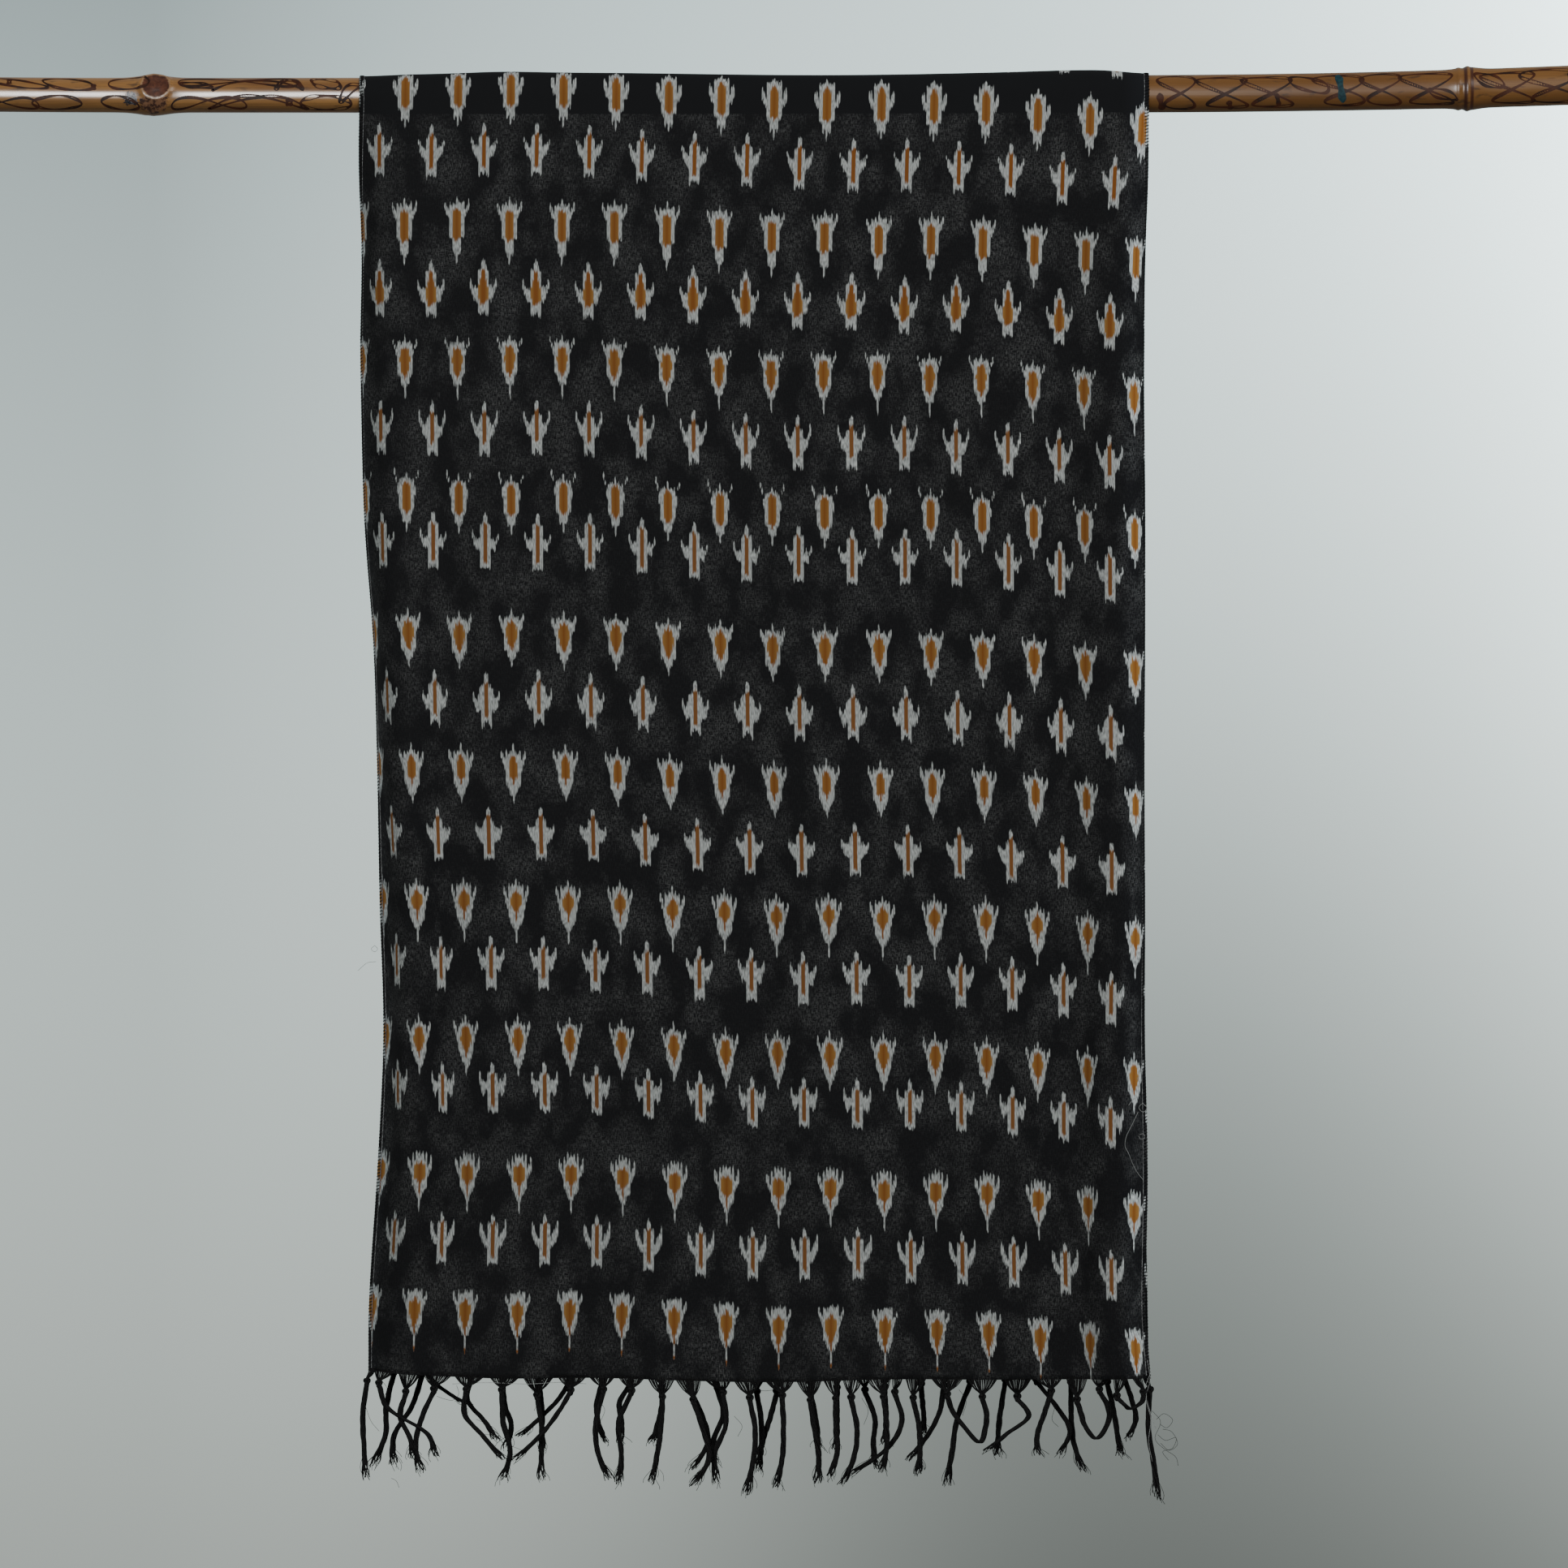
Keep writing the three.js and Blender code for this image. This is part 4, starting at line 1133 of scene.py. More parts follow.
def spike_height(tree, from_middle, middle):
    """How much shorter a bundle is off its centre line, up to half of SPIKE at its sides."""
    off_centre = sums(tree, "FRACT", sums(tree, "ADD", from_middle, 1 - middle))
    off_centre = sums(tree, "ABSOLUTE", sums(tree, "SUBTRACT", off_centre, 0.5))
    in_middle = sums(tree, "LESS_THAN", from_middle, middle)
    off_middle = sums(tree, "SUBTRACT", sums(tree, "MULTIPLY", from_middle, 0.5 / middle), off_centre)
    off_centre = sums(tree, "MULTIPLY_ADD", off_middle, in_middle, off_centre)
    return sums(tree, "MULTIPLY", off_centre, SPIKE)


def add_motifs(tree, uv_name, charts, per_pitch, middle):
    """White and orange from 0 to 1, the bundle outwards and the height in the motif, for one UV map.

    The rows take the charts in turn, outwards from the pole. per_pitch is the number of bundles in a
    column's pitch, and middle is how far the middle bundle reaches, in bundles. Each end of a bundle
    narrows to a spike. Its height is shifted by chance twice: for the bundle, alike all along a row because
    the row was tied in one go, and for the single thread.
    """
    across, down, _ = parts_of(tree, uv_of(tree, uv_name))
    column = sums(tree, "ROUND", across)
    row = sums(tree, "ROUND", down)
    aside = sums(tree, "MULTIPLY", sums(tree, "SUBTRACT", across, column), per_pitch)
    up = sums(tree, "MULTIPLY", sums(tree, "SUBTRACT", row, down), ROW_PITCH)
    from_middle = sums(tree, "ABSOLUTE", aside)
    outwards = sums(tree, "FLOOR", sums(tree, "ADD", from_middle, 1 - middle))
    outwards = sums(tree, "MAXIMUM", outwards, 0)
    bundle = sums(tree, "MULTIPLY", outwards, sums(tree, "SIGN", aside))
    thread = sums(tree, "ROUND", sums(tree, "MULTIPLY", aside, 3))
    kind = sums(tree, "MAXIMUM", sums(tree, "SUBTRACT", sums(tree, "ABSOLUTE", row), 1), 0)
    kind = sums(tree, "MINIMUM", kind, len(charts) - 1)
    white_top, white_foot, orange_top, orange_foot = chart_heights(tree, charts, kind, outwards)
    in_chart = sums(tree, "LESS_THAN", outwards, BUNDLES - 0.5)
    by_bundle = chance(tree, bundle, row, 0.5)
    by_thread = chance(tree, sums(tree, "MULTIPLY_ADD", column, 131, thread), row, 5.5)
    by_motif = chance(tree, column, row, 9.5)
    up = sums(tree, "MULTIPLY_ADD", by_motif[0], 1.6, sums(tree, "SUBTRACT", up, 0.8))
    spike = spike_height(tree, from_middle, middle)
    shifts = [
        sums(tree, "MULTIPLY_ADD", by_bundle[k], 2.2, sums(tree, "MULTIPLY_ADD", by_thread[k], 2.4, -2.6))
        for k in range(3)
    ]
    white_top = sums(tree, "ADD", white_top, sums(tree, "SUBTRACT", shifts[0], spike))
    white_foot = sums(tree, "ADD", white_foot, sums(tree, "ADD", shifts[1], spike))
    orange_top = sums(tree, "ADD", orange_top, sums(tree, "ADD", shifts[2], FADE))
    orange_foot = sums(tree, "ADD", orange_foot, sums(tree, "SUBTRACT", shifts[0], FADE))
    white = sums(tree, "MULTIPLY", band(tree, up, white_top, white_foot, EDGE), in_chart)
    orange = sums(tree, "MULTIPLY", band(tree, up, orange_top, orange_foot, FADE), in_chart)
    return white, orange, outwards, up


# %% [markdown]
# The ground is a blue-black that is a little worn, and the cloth is thin: where two layers hang over one
# another, the motifs behind glow faintly through the front. That glow is painted as soft, streaky patches.
# Over the pole nothing shines through, so there the black is deeper. Near both long edges only one layer
# hangs, and the light that comes through it there is painted as a brightening of all colours. The white is
# crossed by fine slanting lines, the steps of the weave, and its yarns are not all alike.

# %% The cloth's material
SOFT_BLACK = (0.0044, 0.0046, 0.0055, 1)
DEEP_BLACK = (0.0058, 0.0062, 0.0072, 1)
WHITE = (0.62, 0.635, 0.615, 1)
SHADED_WHITE = (0.07, 0.075, 0.073, 1)
ORANGE = (0.22, 0.072, 0.011, 1)
OCHRE = (0.31, 0.155, 0.035, 1)
RUST = (0.20, 0.078, 0.021, 1)
DARK_YARN = (0.07, 0.032, 0.012, 1)
GLOW = (0.105, 0.105, 0.103, 1)
# Painted light: the factor that brightens all colours near the long edges, where only one layer hangs.
EDGE_GLOW_PAINTED_LIGHT = (1.45, 1.5, 1.55, 1)
# The last row of shields starts here below the pole, and between these heights the tips of its tails turn
# orange.
LAST_ROW = 0.87
TIP_FROM, TIP_TO = -21, -19
# The sines that draw the slanting lines and the yarns turn by so many radians in a metre.
SLANT_TURN = 5000
WARP_TURN = 14280
WEFT_TURN = 12500

cloth, tree, shader = new_material("cloth", roughness=0.9, Sheen_Weight=0.015, Sheen_Roughness=0.5)
shader.inputs["Specular IOR Level"].default_value = 0.06
flat = uv_of(tree, "cloth")
flat_x, flat_z, _ = parts_of(tree, flat)
shields = add_motifs(tree, "shields", SHIELD_CHARTS, per_pitch=31.2, middle=0.5)
shield_white, shield_orange, shield_bundle, shield_up = shields
crosses = add_motifs(tree, "crosses", CROSS_CHARTS, per_pitch=32, middle=1.2)
cross_white, cross_orange, cross_bundle, _ = crosses
white = sums(tree, "MAXIMUM", shield_white, cross_white)
# The tails of the last row at the front hem end in orange.
tail = sums(tree, "MULTIPLY", rescaled(tree, shield_up, TIP_FROM, TIP_TO, 1, 0), shield_white)
tail = sums(tree, "MULTIPLY", tail, sums(tree, "GREATER_THAN", flat_z, LAST_ROW))
shield_orange = sums(tree, "MAXIMUM", shield_orange, tail)

off_pole = rescaled(tree, flat_z, 0.0131, 0.0143)
upright = clouds(tree, stretched(tree, flat, 1500, 330, 1), 1.0, detail=2)
level = sums(tree, "MULTIPLY", clouds(tree, stretched(tree, flat, 330, 1500, 1), 1.0, detail=2), 0.93)
patch = clouds(tree, stretched(tree, flat, 48, 30, 1), 1.0, detail=4)
speck = rescaled(tree, sums(tree, "MAXIMUM", upright, level), 0.46, 0.82)
glow = sums(tree, "MULTIPLY", rescaled(tree, patch, 0.42, 0.64, 0.1, 1), speck)
ground = colour_mix(tree, off_pole, DEEP_BLACK, SOFT_BLACK)
ground = colour_mix(tree, sums(tree, "MULTIPLY", glow, off_pole), ground, GLOW)

slant = sums(tree, "SINE", sums(tree, "MULTIPLY", sums(tree, "ADD", flat_x, flat_z), SLANT_TURN))
slant = rescaled(tree, slant, -1, 1)
yarns = rescaled(tree, upright, 0.36, 0.64)
bright = sums(tree, "MULTIPLY_ADD", slant, 0.4, sums(tree, "MULTIPLY", yarns, 0.6))
bleached = colour_mix(tree, bright, SHADED_WHITE, WHITE)
colour = colour_mix(tree, white, ground, bleached)
warm = colour_mix(tree, rescaled(tree, shield_bundle, 0, 3), ORANGE, OCHRE)
_, cross_row, _ = parts_of(tree, uv_of(tree, "crosses"))
early_rows = sums(tree, "LESS_THAN", sums(tree, "ABSOLUTE", cross_row), 2.5)
line = colour_mix(tree, early_rows, RUST, colour_mix(tree, rescaled(tree, cross_bundle, 0, 2), ORANGE, OCHRE))
warm = colour_mix(tree, cross_orange, warm, line)
warm = colour_mix(tree, rescaled(tree, slant, 0, 0.7, 0.5, 0), warm, DARK_YARN)
colour = colour_mix(tree, sums(tree, "MAXIMUM", shield_orange, cross_orange), colour, warm)
# Painted light: near both long edges the colours are multiplied by the edge factor, as if light shone
# through.
thin = sums(tree, "MAXIMUM", rescaled(tree, flat_x, 0.262, 0.274), rescaled(tree, flat_x, -0.276, -0.284))
colour = colour_mix(tree, thin, colour, colour_mix(tree, 1.0, colour, EDGE_GLOW_PAINTED_LIGHT, "MULTIPLY"))
feed(tree, shader.inputs["Base Color"], colour)

warp = sums(tree, "SINE", sums(tree, "MULTIPLY", flat_x, WARP_TURN))
weft = sums(tree, "SINE", sums(tree, "MULTIPLY", flat_z, WEFT_TURN))
weave = rescaled(tree, sums(tree, "MULTIPLY", warp, weft), -1, 1)
bump(tree, shader, weave, 0.0001, 0.3)

rows, steps = sheet.shape[:2]
cloth_piece = add_mesh("ikat_cloth", sheet, grid_faces(rows, steps), cloth)
corner_points = np.empty(len(cloth_piece.data.loops), dtype=int)
cloth_piece.data.loops.foreach_get("vertex_index", corner_points)
for uv_name, uv in uv_sets.items():
    layer = cloth_piece.data.uv_layers.new(name=uv_name)
    layer.data.foreach_set("uv", uv.reshape(-1, 2)[corner_points].ravel())
thickness = cloth_piece.modifiers.new("thickness", "SOLIDIFY")
thickness.thickness = SHEET_THICK * MM
thickness.offset = 0
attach(cloth_piece, "root")
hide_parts("cloth_front", "cloth_crest", "cloth_back")

# %% [markdown]
# ## The overlocked edges
#
# Both long edges are overlocked: a black thread is looped round the raw edge, over one face and under the
# other, and a row of needle stitches holds the loops a few millimetres in. The loops are one long coil
# round the edge, squashed to the cloth's thickness. Its path is the edge's own line plus a turn of an
# ellipse in the plane across it.

# %% Overlock stitches
STITCHED_LENGTH = 1858
STITCH_PITCH = 2.3
STITCH_WIDE = 3.0
COIL_THREAD = 0.32
NEEDLE_THREAD = 0.22


def edge_frame(side, length):
    """The edge's line at places along it, with the directions outwards, off the face and along the edge."""
    column = 0 if side < 0 else -1
    inner = 2 if side < 0 else -3
    line = sheet[:, column]
    outwards = unit(line - sheet[:, inner])
    gone = np.concatenate([[0], np.cumsum(np.linalg.norm(np.diff(line, axis=0), axis=1))])
    along = np.stack([np.interp(length, gone, line[:, k]) for k in range(3)], axis=-1)
    out = unit(np.stack([np.interp(length, gone, outwards[:, k]) for k in range(3)], axis=-1))
    heading = unit(np.gradient(along, axis=0))
    face = unit(np.cross(heading, out))
    return along, out, face, heading


def overlock_parts(side, wide):
    """The coil of loops and the needle line of one long edge, which reach a width into the cloth.

    The needle line dips under the cloth's face once in each stitch, so only a row of dashes shows.
    """
    turns = int(STITCHED_LENGTH / STITCH_PITCH)
    turn = np.linspace(0, turns * 2 * np.pi, turns * 8)
    uneven = 1 + 0.05 * np.sin(0.37 * turn) + 0.05 * np.sin(0.113 * turn + 1)
    along, out, face, heading = edge_frame(side, turn / (2 * np.pi) * STITCH_PITCH)
    reach = -wide / 2 + 0.1 + (wide / 2 + 0.1) * np.cos(turn) * uneven
    rise = 0.55 * np.sin(turn)
    coil = along + out * reach[:, None] + face * rise[:, None]
    coil_parts = tube_parts(coil[None], np.full(coil.shape[0], COIL_THREAD), 4, heading[None])
    places = np.linspace(2, STITCHED_LENGTH - 2, turns * 4)
    along, out, face, _ = edge_frame(side, places)
    hop = 0.1 + 0.4 * np.cos(2 * np.pi * places / STITCH_PITCH)
    sewn = []
    for off in (1, -1):
        line = along - out * (wide + 0.2) + off * face * hop[:, None]
        sewn.append(tube_parts(line[None], np.full(len(places), NEEDLE_THREAD), 4, out[None]))
    return coil_parts, joined(sewn)


yarn = speckled_material(
    "black_yarn",
    roughness=0.8,
    specular=0.07,
    dark=(0.0018, 0.0018, 0.0020, 1),
    light=(0.011, 0.0105, 0.0105, 1),
    scale=900,
    detail=3,
    low=0.4,
    high=0.7,
)
needle_thread = speckled_material(
    "needle_thread",
    roughness=0.6,
    specular=0.5,
    dark=(0.05, 0.052, 0.055, 1),
    light=(0.30, 0.31, 0.31, 1),
    scale=300,
    detail=2,
    low=0.4,
    high=0.65,
)

for side, name in ((-1, "left"), (1, "right")):
    coil, needle_line = overlock_parts(side, STITCH_WIDE)
    overlock = add_mesh("overlock_" + name, *coil, yarn)
    needle_row = add_mesh("needle_line_" + name, *needle_line, needle_thread)
    for piece in (overlock, needle_row):
        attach(piece, "root")

# %% [markdown]
# ## The tassels
#
# Below the last weft the warp ends are bare. Twenty or so are gathered into a fan, tied in an overhand
# knot, and hang on as a slack cord with a frayed tip. So a tassel is built from threads: the fan's run from
# the hem to the knot, the knot is a short closed tube along a trefoil, and the cord is a bundle of yarns
# that turn round one another and part at the end.

# %% Fans and knots
# LANE is the distance between two lanes, FAN_PITCH that between a fan's threads, and the last four are
# radii.
LANE = 5
FAN_PITCH = 0.68
CORD_YARNS = 10
FRAYS = 6
LINE_POINTS = 200
FAN_THREAD, KNOT_THREAD, YARN_THREAD, FRAY_THREAD = 0.3, 1.05, 0.66, 0.16


def hem_points(fall, x):
    """Points on the hem at places x, from the fall's lowest row."""
    row = front_points[0] if fall is FRONT else back_points[-1]
    return np.stack([x, np.interp(x, row[:, 0], row[:, 1]), np.interp(x, row[:, 0], row[:, 2])], axis=-1)


def fan_parts(fall, rng):
    """The threads of all fans. Each bows a little outwards on its way from the hem to its knot."""
    groups = []
    for fan, wide, knot, neck, *_, lane in fall["tassels"]:
        count = max(12, int(wide / FAN_PITCH))
        place = fan + wide / 2 * 1.04 * np.linspace(-1, 1, count)
        start = hem_points(fall, place)
        root = hem_points(fall, np.array([fan]))[0]
        end = np.array([knot, root[1] - LANE * lane, root[2] - neck + 1.2])
        spread = 0.9 * np.linspace(-1, 1, count)
        ends = end + np.stack([spread, rng.normal(0, 0.5, count), 0 * spread], axis=-1)
        start[:, 2] += 2
        bow = np.stack([0.05 * (start[:, 0] - ends[:, 0]), rng.normal(0, 0.4, count), 0 * place], axis=-1)
        bow[:, 0] += rng.normal(0, 0.25, count)
        middle = start + (ends - start) * [0.5, 0.45, 0.55] + bow
        low = start + (ends - start) * [0.86, 0.85, 0.85] + 0.35 * bow
        groups.append(np.stack([start, middle, low, ends], axis=1))
    paths = curve_through(np.concatenate(groups), 9)
    return tube_parts(paths, np.array([FAN_THREAD]), 4, (0, 1, 0))


def knot_parts(fall, rng):
    """The overhand knots: closed tubes along a trefoil, which winds round and crosses itself."""
    tassels = fall["tassels"]
    root = hem_points(fall, tassels[:, 0])
    lane = root[:, 1] - LANE * tassels[:, 8]
    centre = np.stack([tassels[:, 2], lane, root[:, 2] - tassels[:, 3] - 0.6], axis=-1)
    t = np.linspace(0, 2 * np.pi, 42, endpoint=False) + rng.uniform(0, 6, len(tassels))[:, None]
    size = rng.uniform(0.62, 0.74, len(tassels))[:, None]
    x = size * (np.sin(t) + 2 * np.sin(2 * t))
    z = 1.25 * size * (np.cos(t) - 2 * np.cos(2 * t))
    y = -1.1 * np.sin(3 * t)
    paths = centre[:, None, :] + np.stack([x, y, z], axis=-1)
    return tube_parts(paths, np.array([KNOT_THREAD]), 6, (0.02, 1, 0.03), closed=True)


# %% [markdown]
# A cord's centre line runs from its knot through two places on its way to its tip. Two cords that meet at
# their tips make one line, a loop. The yarns turn round each line.

# %% Cords


def cord_routes(fall):
    """The centre lines of all cords, and those of the pairs that run into one another as loops."""
    tassels = fall["tassels"]
    root = hem_points(fall, tassels[:, 0])
    lane = root[:, 1] - LANE * tassels[:, 8]
    top = tassels[:, 3] + 1.5
    low = tassels[:, 7]
    knots = []
    for column, share in ((2, 0), (4, 1 / 3), (5, 2 / 3), (6, 1)):
        knots.append(np.stack([tassels[:, column], lane, root[:, 2] - top - (low - top) * share], axis=-1))
    knots = np.stack(knots, axis=1)
    looped = [number for pair in fall["loops"] for number in pair]
    single = np.setdiff1d(np.arange(len(tassels)), looped)
    pairs = []
    for left, right in fall["loops"]:
        meeting = (knots[left, 3] + knots[right, 3]) / 2
        pairs.append(np.concatenate([knots[left, :3], meeting[None], knots[right, 2::-1]]))
    return knots[single], np.array(pairs)


def cord_parts(fall, rng):
    """Cords of twisted yarns.

    A yarn circles the cord's centre line one and a half times on its way down, and leaves it over the last
    fifth, where the cord frays. Loops have no frayed end.
    """
    single, pairs = cord_routes(fall)
    parts = []
    for routes, stations, frays in ((single, 26, True), (pairs, 44, False)):
        if len(routes) == 0:
            continue
        lines = curve_through(routes, LINE_POINTS)
        t = np.linspace(0, 1, stations)
        tufts = []
        for yarn_number in range(CORD_YARNS + (FRAYS if frays else 0)):
            thin = yarn_number >= CORD_YARNS
            reach = rng.uniform(0.93, 1.0, len(lines))[:, None] if frays else 1
            if thin:
                reach = rng.uniform(0.9, 1.06, len(lines))[:, None]
            place = np.clip(t * reach, 0, 1) * (LINE_POINTS - 1)
            k = np.minimum(place.astype(int), LINE_POINTS - 2)
            rest = (t * reach * (LINE_POINTS - 1) - k)[..., None] + 0 * lines[:, :1, :1]
            pick = np.arange(len(lines))[:, None]
            k = np.broadcast_to(k, (len(lines), stations))
            centre = lines[pick, k] + (lines[pick, k + 1] - lines[pick, k]) * rest
            loose = rng.uniform(0.9, 1.15, len(lines))[:, None]
            ring = 0.25 if yarn_number == 0 else 1.3
            turned = yarn_number * 2 * np.pi / 9 + 2 * np.pi * 1.5 * t
            angle = turned + rng.uniform(0, 0.5, len(lines))[:, None]
            swell = 1 + 0.12 * np.sin(9 * t + rng.uniform(0, 6, len(lines))[:, None])
            tip = ease((t - 0.78) / 0.22) if frays else 0 * t
            spread = ring * loose * swell * (1 + (1.6 if thin else 0.85) * tip)
            drift = rng.normal(0, 2.2 if thin else 0.9, len(lines))[:, None] * tip**1.5
            dx = spread * np.cos(angle) + drift
            dy = 0.9 * spread * np.sin(angle)
            tufts.append(centre + np.stack([dx, dy, 0 * dx], axis=-1))
        full = np.concatenate(tufts[:CORD_YARNS])
        slim = 1 - 0.6 * ease((t - 0.8) / 0.2) if frays else 1 + 0 * t
        parts.append(tube_parts(full, YARN_THREAD * slim, 4, (0.02, 1, 0.02)))
        if frays:
            fine = np.concatenate(tufts[CORD_YARNS:])[:, 12:]
            parts.append(tube_parts(fine, np.array([FRAY_THREAD]), 4, (0.02, 1, 0.02)))
    return parts


# %% Tassels of both hems
for fall, node, name, seed in (
    (FRONT, "fringe_front", "tassels_front", 7),
    (BACK, "fringe_back", "tassels_back", 12),
):
    rng = np.random.default_rng(seed)
    parts = [fan_parts(fall, rng), knot_parts(fall, rng), *cord_parts(fall, rng)]
    piece = add_mesh(name, *joined(parts), yarn)
    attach(piece, "root")
    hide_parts(node)

# %% [markdown]
# A handloom cloth sheds: white warp ends have worked loose beside both edges, and fine black hairs curl
# between the tassels. Each is a smooth curve through a few places on the front, 1 mm clear of the cloth.

# %% Loose threads
WHITE_ENDS = [
    [(273, -692), (276, -694.5), (272, -698), (274, -701)],
    [(265.5, -717), (269, -713), (273.5, -710.5)],
    [(276, -716), (279, -719), (276, -722), (273, -719), (275.5, -716), (278, -718)],
    [(272.5, -722), (268, -731), (264, -739), (263, -746)]
    + [(265.5, -751), (268.5, -758.5), (272, -765), (276, -770)],
    [(273.5, -738), (276.5, -737.5), (277, -740.5), (274, -741), (273, -739)],
    [(-269.5, -604), (-267.5, -606.5), (-269.5, -608.5), (-272, -606.5), (-269.5, -604)],
    [(-268.5, -615.5), (-275, -616.5), (-281.5, -622)],
    [(279, -898), (281, -912), (278, -925), (281.5, -940), (280, -955.5), (282.5, -970)],
    [(281.5, -906.5), (277.5, -919), (280.5, -933), (285, -946.5)],
    [(-214, -915), (-189.5, -914), (-161, -915), (-138, -914), (-119, -915)],
]
BLACK_HAIRS = [
    [(-276, -932), (-272, -942), (-266, -948.5)],
    [(-211, -916), (-209.5, -922), (-213.5, -926.5), (-220, -925.5), (-225, -923.5)],
    [(-207, -927.5), (-203, -933.5), (-205, -940)],
    [(-197, -940), (-184, -946.5), (-179.5, -955.5), (-172, -960)],
    [(-191, -950.5), (-179.5, -952.5), (-174, -958), (-164.5, -962.5), (-172, -965.5)],
    [(-257, -981.5), (-253.5, -983.5), (-251.5, -988)],
    [(-67, -975.5), (-64.5, -979), (-64, -984)],
    [(-0.5, -919), (7.5, -920), (16, -919)],
    [(285.5, -940), (291, -936), (297, -940.5), (293, -946), (288, -943.5)],
    [(286.5, -951), (292, -955), (299.5, -953), (297, -960.5), (290, -963), (294, -969)],
    [(282.5, -934), (288.5, -942), (284.5, -953.5), (291, -961), (299, -966.5), (301, -973)],
    [(290, -947), (296.5, -949), (300.5, -957.5), (294.5, -962), (288.5, -957)],
    [(-264.5, -912), (-260, -919), (-264.5, -927), (-261, -934)],
    [(-158, -919), (-152.5, -925), (-156, -934)],
    [(-107.5, -917), (-111, -925), (-106, -933), (-108.5, -941)],
    [(-14, -938), (-8.5, -945), (-11.5, -952.5)],
    [(76.5, -925), (81, -934), (78, -944)],
    [(145.5, -919), (150.5, -927), (148, -937.5)],
    [(208, -921.5), (213.5, -929.5), (211.5, -940), (216, -945.5)],
]


def thread_parts(threads, thick):
    """Thin tubes through places given as x and z, brought 1 mm in front of the nearest point of the fall."""
    face = front_points.reshape(-1, 3)
    parts = []
    for places in threads:
        places = np.array(places, dtype=float)
        nearest = np.hypot(face[:, 0] - places[:, :1], face[:, 2] - places[:, 1:]).argmin(axis=1)
        knots = np.stack([places[:, 0], face[nearest, 1] - 1.3, places[:, 1]], axis=-1)
        parts.append(tube_parts(curve_through(knots[None], 24), np.array([thick]), 4, (0.02, 1, 0.03)))
    return joined(parts)


loose_white, tree, shader = new_material("loose_white", roughness=0.8)
shader.inputs["Base Color"].default_value = (0.3, 0.31, 0.3, 1)
for name, threads, thick, finish in (
    ("loose_warp_ends", WHITE_ENDS, 0.15, loose_white),
    ("loose_hairs", BLACK_HAIRS, 0.13, yarn),
):
    piece = add_mesh(name, *thread_parts(threads, thick), finish)
    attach(piece, "root")

# %% [markdown]
# Before it was hung, the cloth was one flat length.

# %% [markdown]
# ## Stage and light
#
# The object hangs in a bright, plain room: soft light from the upper right and front, and a pale floor far
# below. The background is the sky of the scene, a pale grey that gets lighter towards the upper right.

# %% Stage and light
FLOOR_REACH = 4.5
FLOOR_HEIGHT = -1.8
floor_mesh = bpy.data.meshes.new("floor")
floor_mesh.from_pydata(
    [(x * FLOOR_REACH, y * FLOOR_REACH, FLOOR_HEIGHT) for x, y in ((-1, -1), (1, -1), (1, 1), (-1, 1))],
    [],
    [(0, 1, 2, 3)],
)
floor = bpy.data.objects.new("floor", floor_mesh)
bpy.context.collection.objects.link(floor)
floor_material, tree, shader = new_material("floor", roughness=0.9)
shader.inputs["Base Color"].default_value = (0.3, 0.31, 0.3, 1)
floor_mesh.materials.append(floor_material)

world = bpy.data.worlds.new("room")
world.use_nodes = True
bpy.context.scene.world = world
tree = world.node_tree
tree.nodes.clear()
output = tree.nodes.new("ShaderNodeOutputWorld")
glow_of_room = tree.nodes.new("ShaderNodeBackground")
glow_of_room.inputs["Color"].default_value = (0.50, 0.53, 0.53, 1)
wall = tree.nodes.new("ShaderNodeBackground")
looked = parts_of(tree, tree.nodes.new("ShaderNodeTexCoord").outputs["Generated"])
to_right = rescaled(tree, looked[0], -0.0557, 0.0696, -0.8, 1)
to_top = rescaled(tree, looked[2], -0.0696, 0.0696, -1, 1)
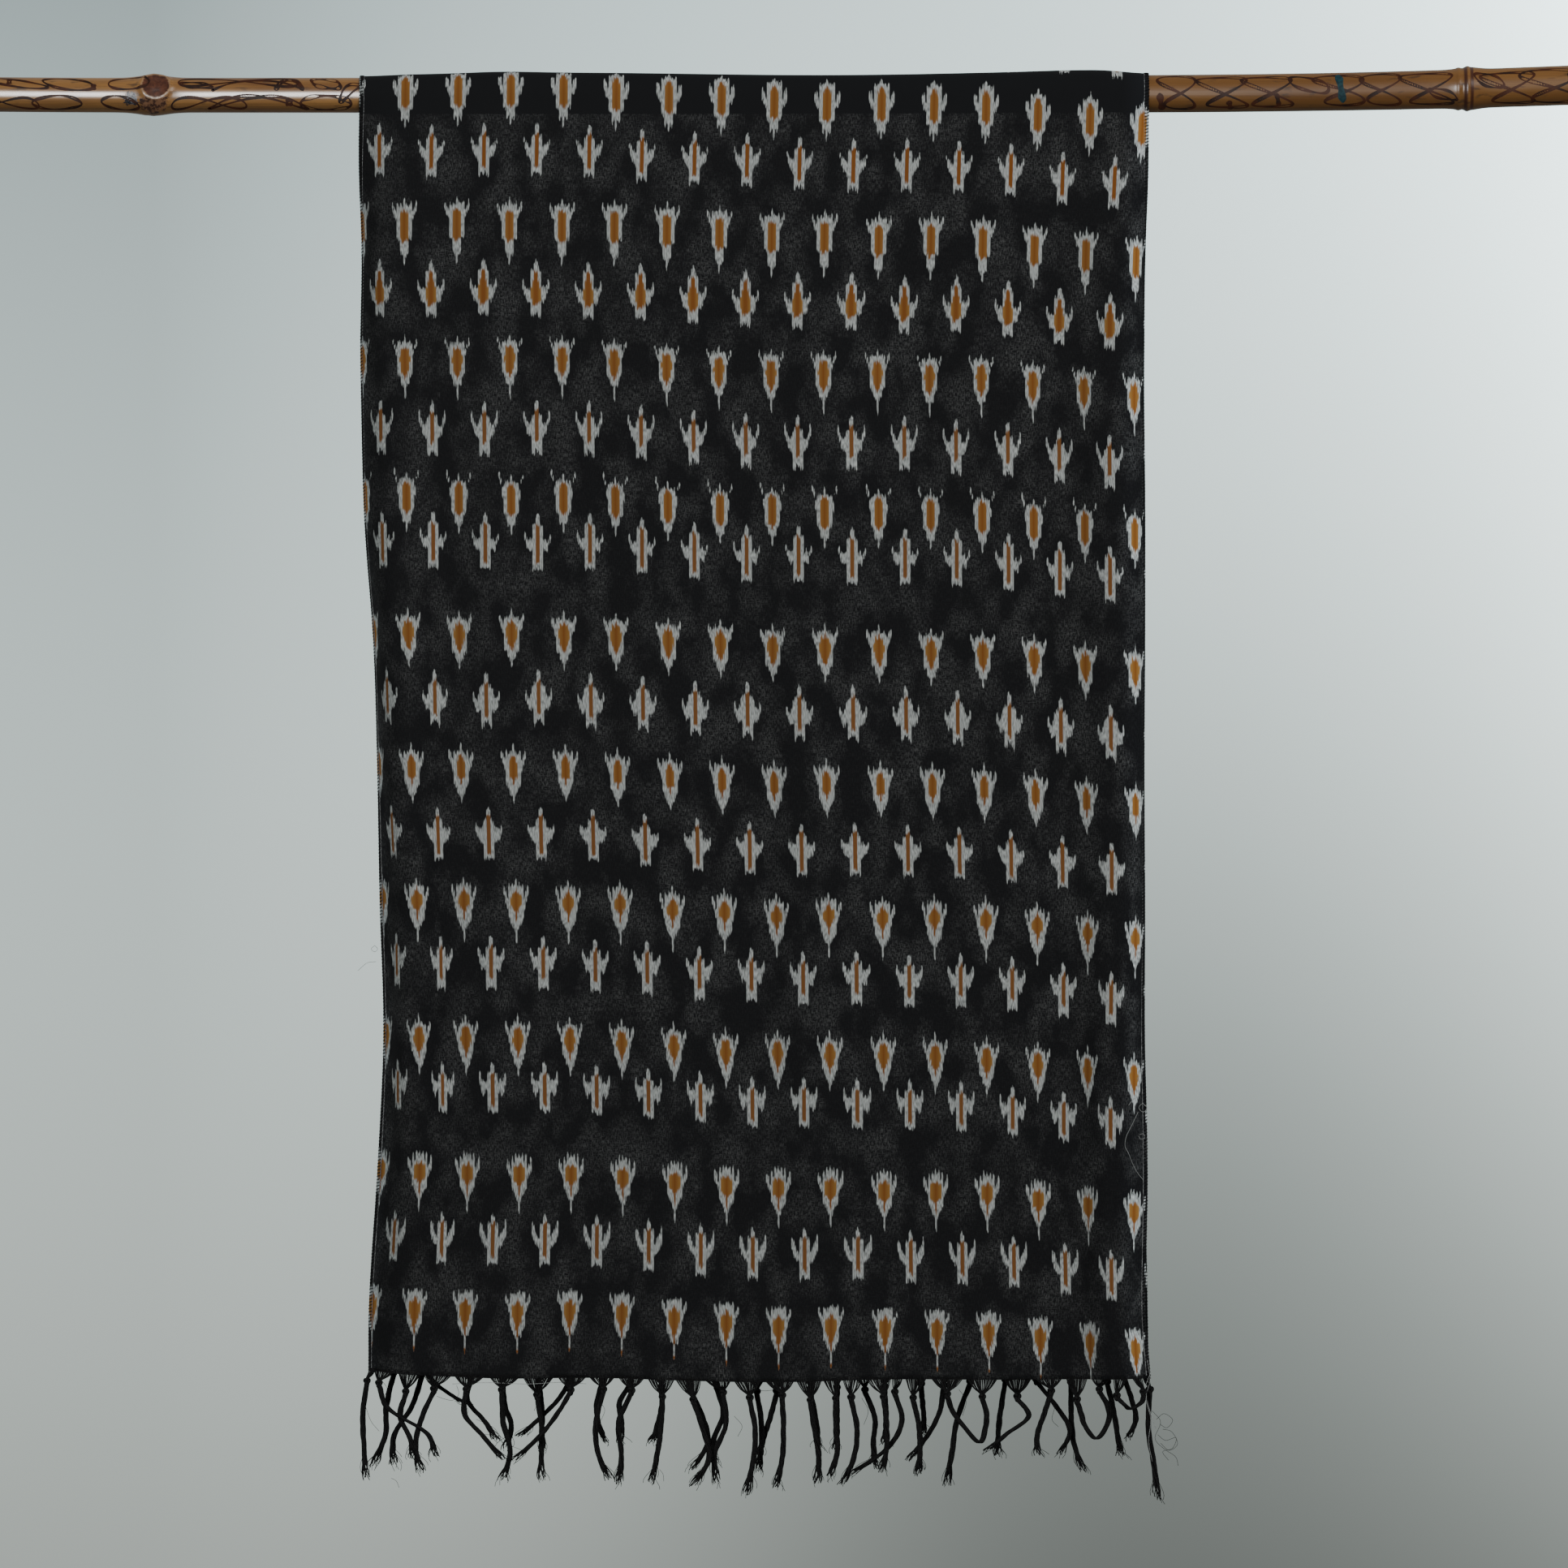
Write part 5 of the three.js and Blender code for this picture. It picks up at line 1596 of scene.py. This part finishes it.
# The brightness is e to the power of a sum, so that each term lightens or darkens the grey by its own
# share. The last term is the soft shade beside the cloth.
cube = sums(tree, "MULTIPLY", to_right, sums(tree, "MULTIPLY", to_right, to_right))
power = sums(tree, "MULTIPLY_ADD", cube, 0.51, -0.04)
power = sums(tree, "MULTIPLY_ADD", to_top, 0.585, power)
power = sums(tree, "MULTIPLY_ADD", sums(tree, "MULTIPLY", to_right, to_top), 0.685, power)
power = sums(tree, "MULTIPLY_ADD", sums(tree, "MULTIPLY", to_top, to_top), -0.42, power)
shade_x = sums(tree, "DIVIDE", sums(tree, "SUBTRACT", to_right, 0.4), 0.45)
shade_z = sums(tree, "DIVIDE", sums(tree, "ADD", to_top, 0.6), 0.8)
apart = sums(tree, "ADD", sums(tree, "MULTIPLY", shade_x, shade_x), sums(tree, "MULTIPLY", shade_z, shade_z))
power = sums(tree, "MULTIPLY_ADD", sums(tree, "EXPONENT", sums(tree, "MULTIPLY", apart, -1)), -0.49, power)
feed(tree, wall.inputs["Strength"], sums(tree, "EXPONENT", power))
hue = colour_mix(tree, rescaled(tree, to_top, -1, 1), (0.91, 1.0, 0.94, 1), (0.81, 1.0, 1.01, 1))
feed(tree, wall.inputs["Color"], hue)
seen = tree.nodes.new("ShaderNodeMixShader")
tree.links.new(tree.nodes.new("ShaderNodeLightPath").outputs["Is Camera Ray"], seen.inputs[0])
tree.links.new(glow_of_room.outputs[0], seen.inputs[1])
tree.links.new(wall.outputs[0], seen.inputs[2])
tree.links.new(seen.outputs[0], output.inputs[0])


def add_light(name, place, aim, wide, high, power, only_shine=False):
    """A rectangular soft light at a place, turned to its aim. It can be one that only shows as a shine."""
    data = bpy.data.lights.new(name, "AREA")
    data.shape = "RECTANGLE"
    data.size = wide
    data.size_y = high
    data.energy = power
    lamp = bpy.data.objects.new(name, data)
    lamp.location = place
    look = (np.array(aim) - np.array(place)).astype(float)
    lamp.visible_camera = False
    lamp.visible_diffuse = not only_shine
    lamp.rotation_euler = Vector(look).to_track_quat("-Z", "Y").to_euler()
    bpy.context.collection.objects.link(lamp)


add_light("window", (1.6, -2.4, 1.3), (0, 0, -0.4), 1.4, 1.4, 50)
add_light("shine", (-0.62, -3.0, 0.1), (-0.5, 0, 0), 0.62, 1.4, 260, only_shine=True)
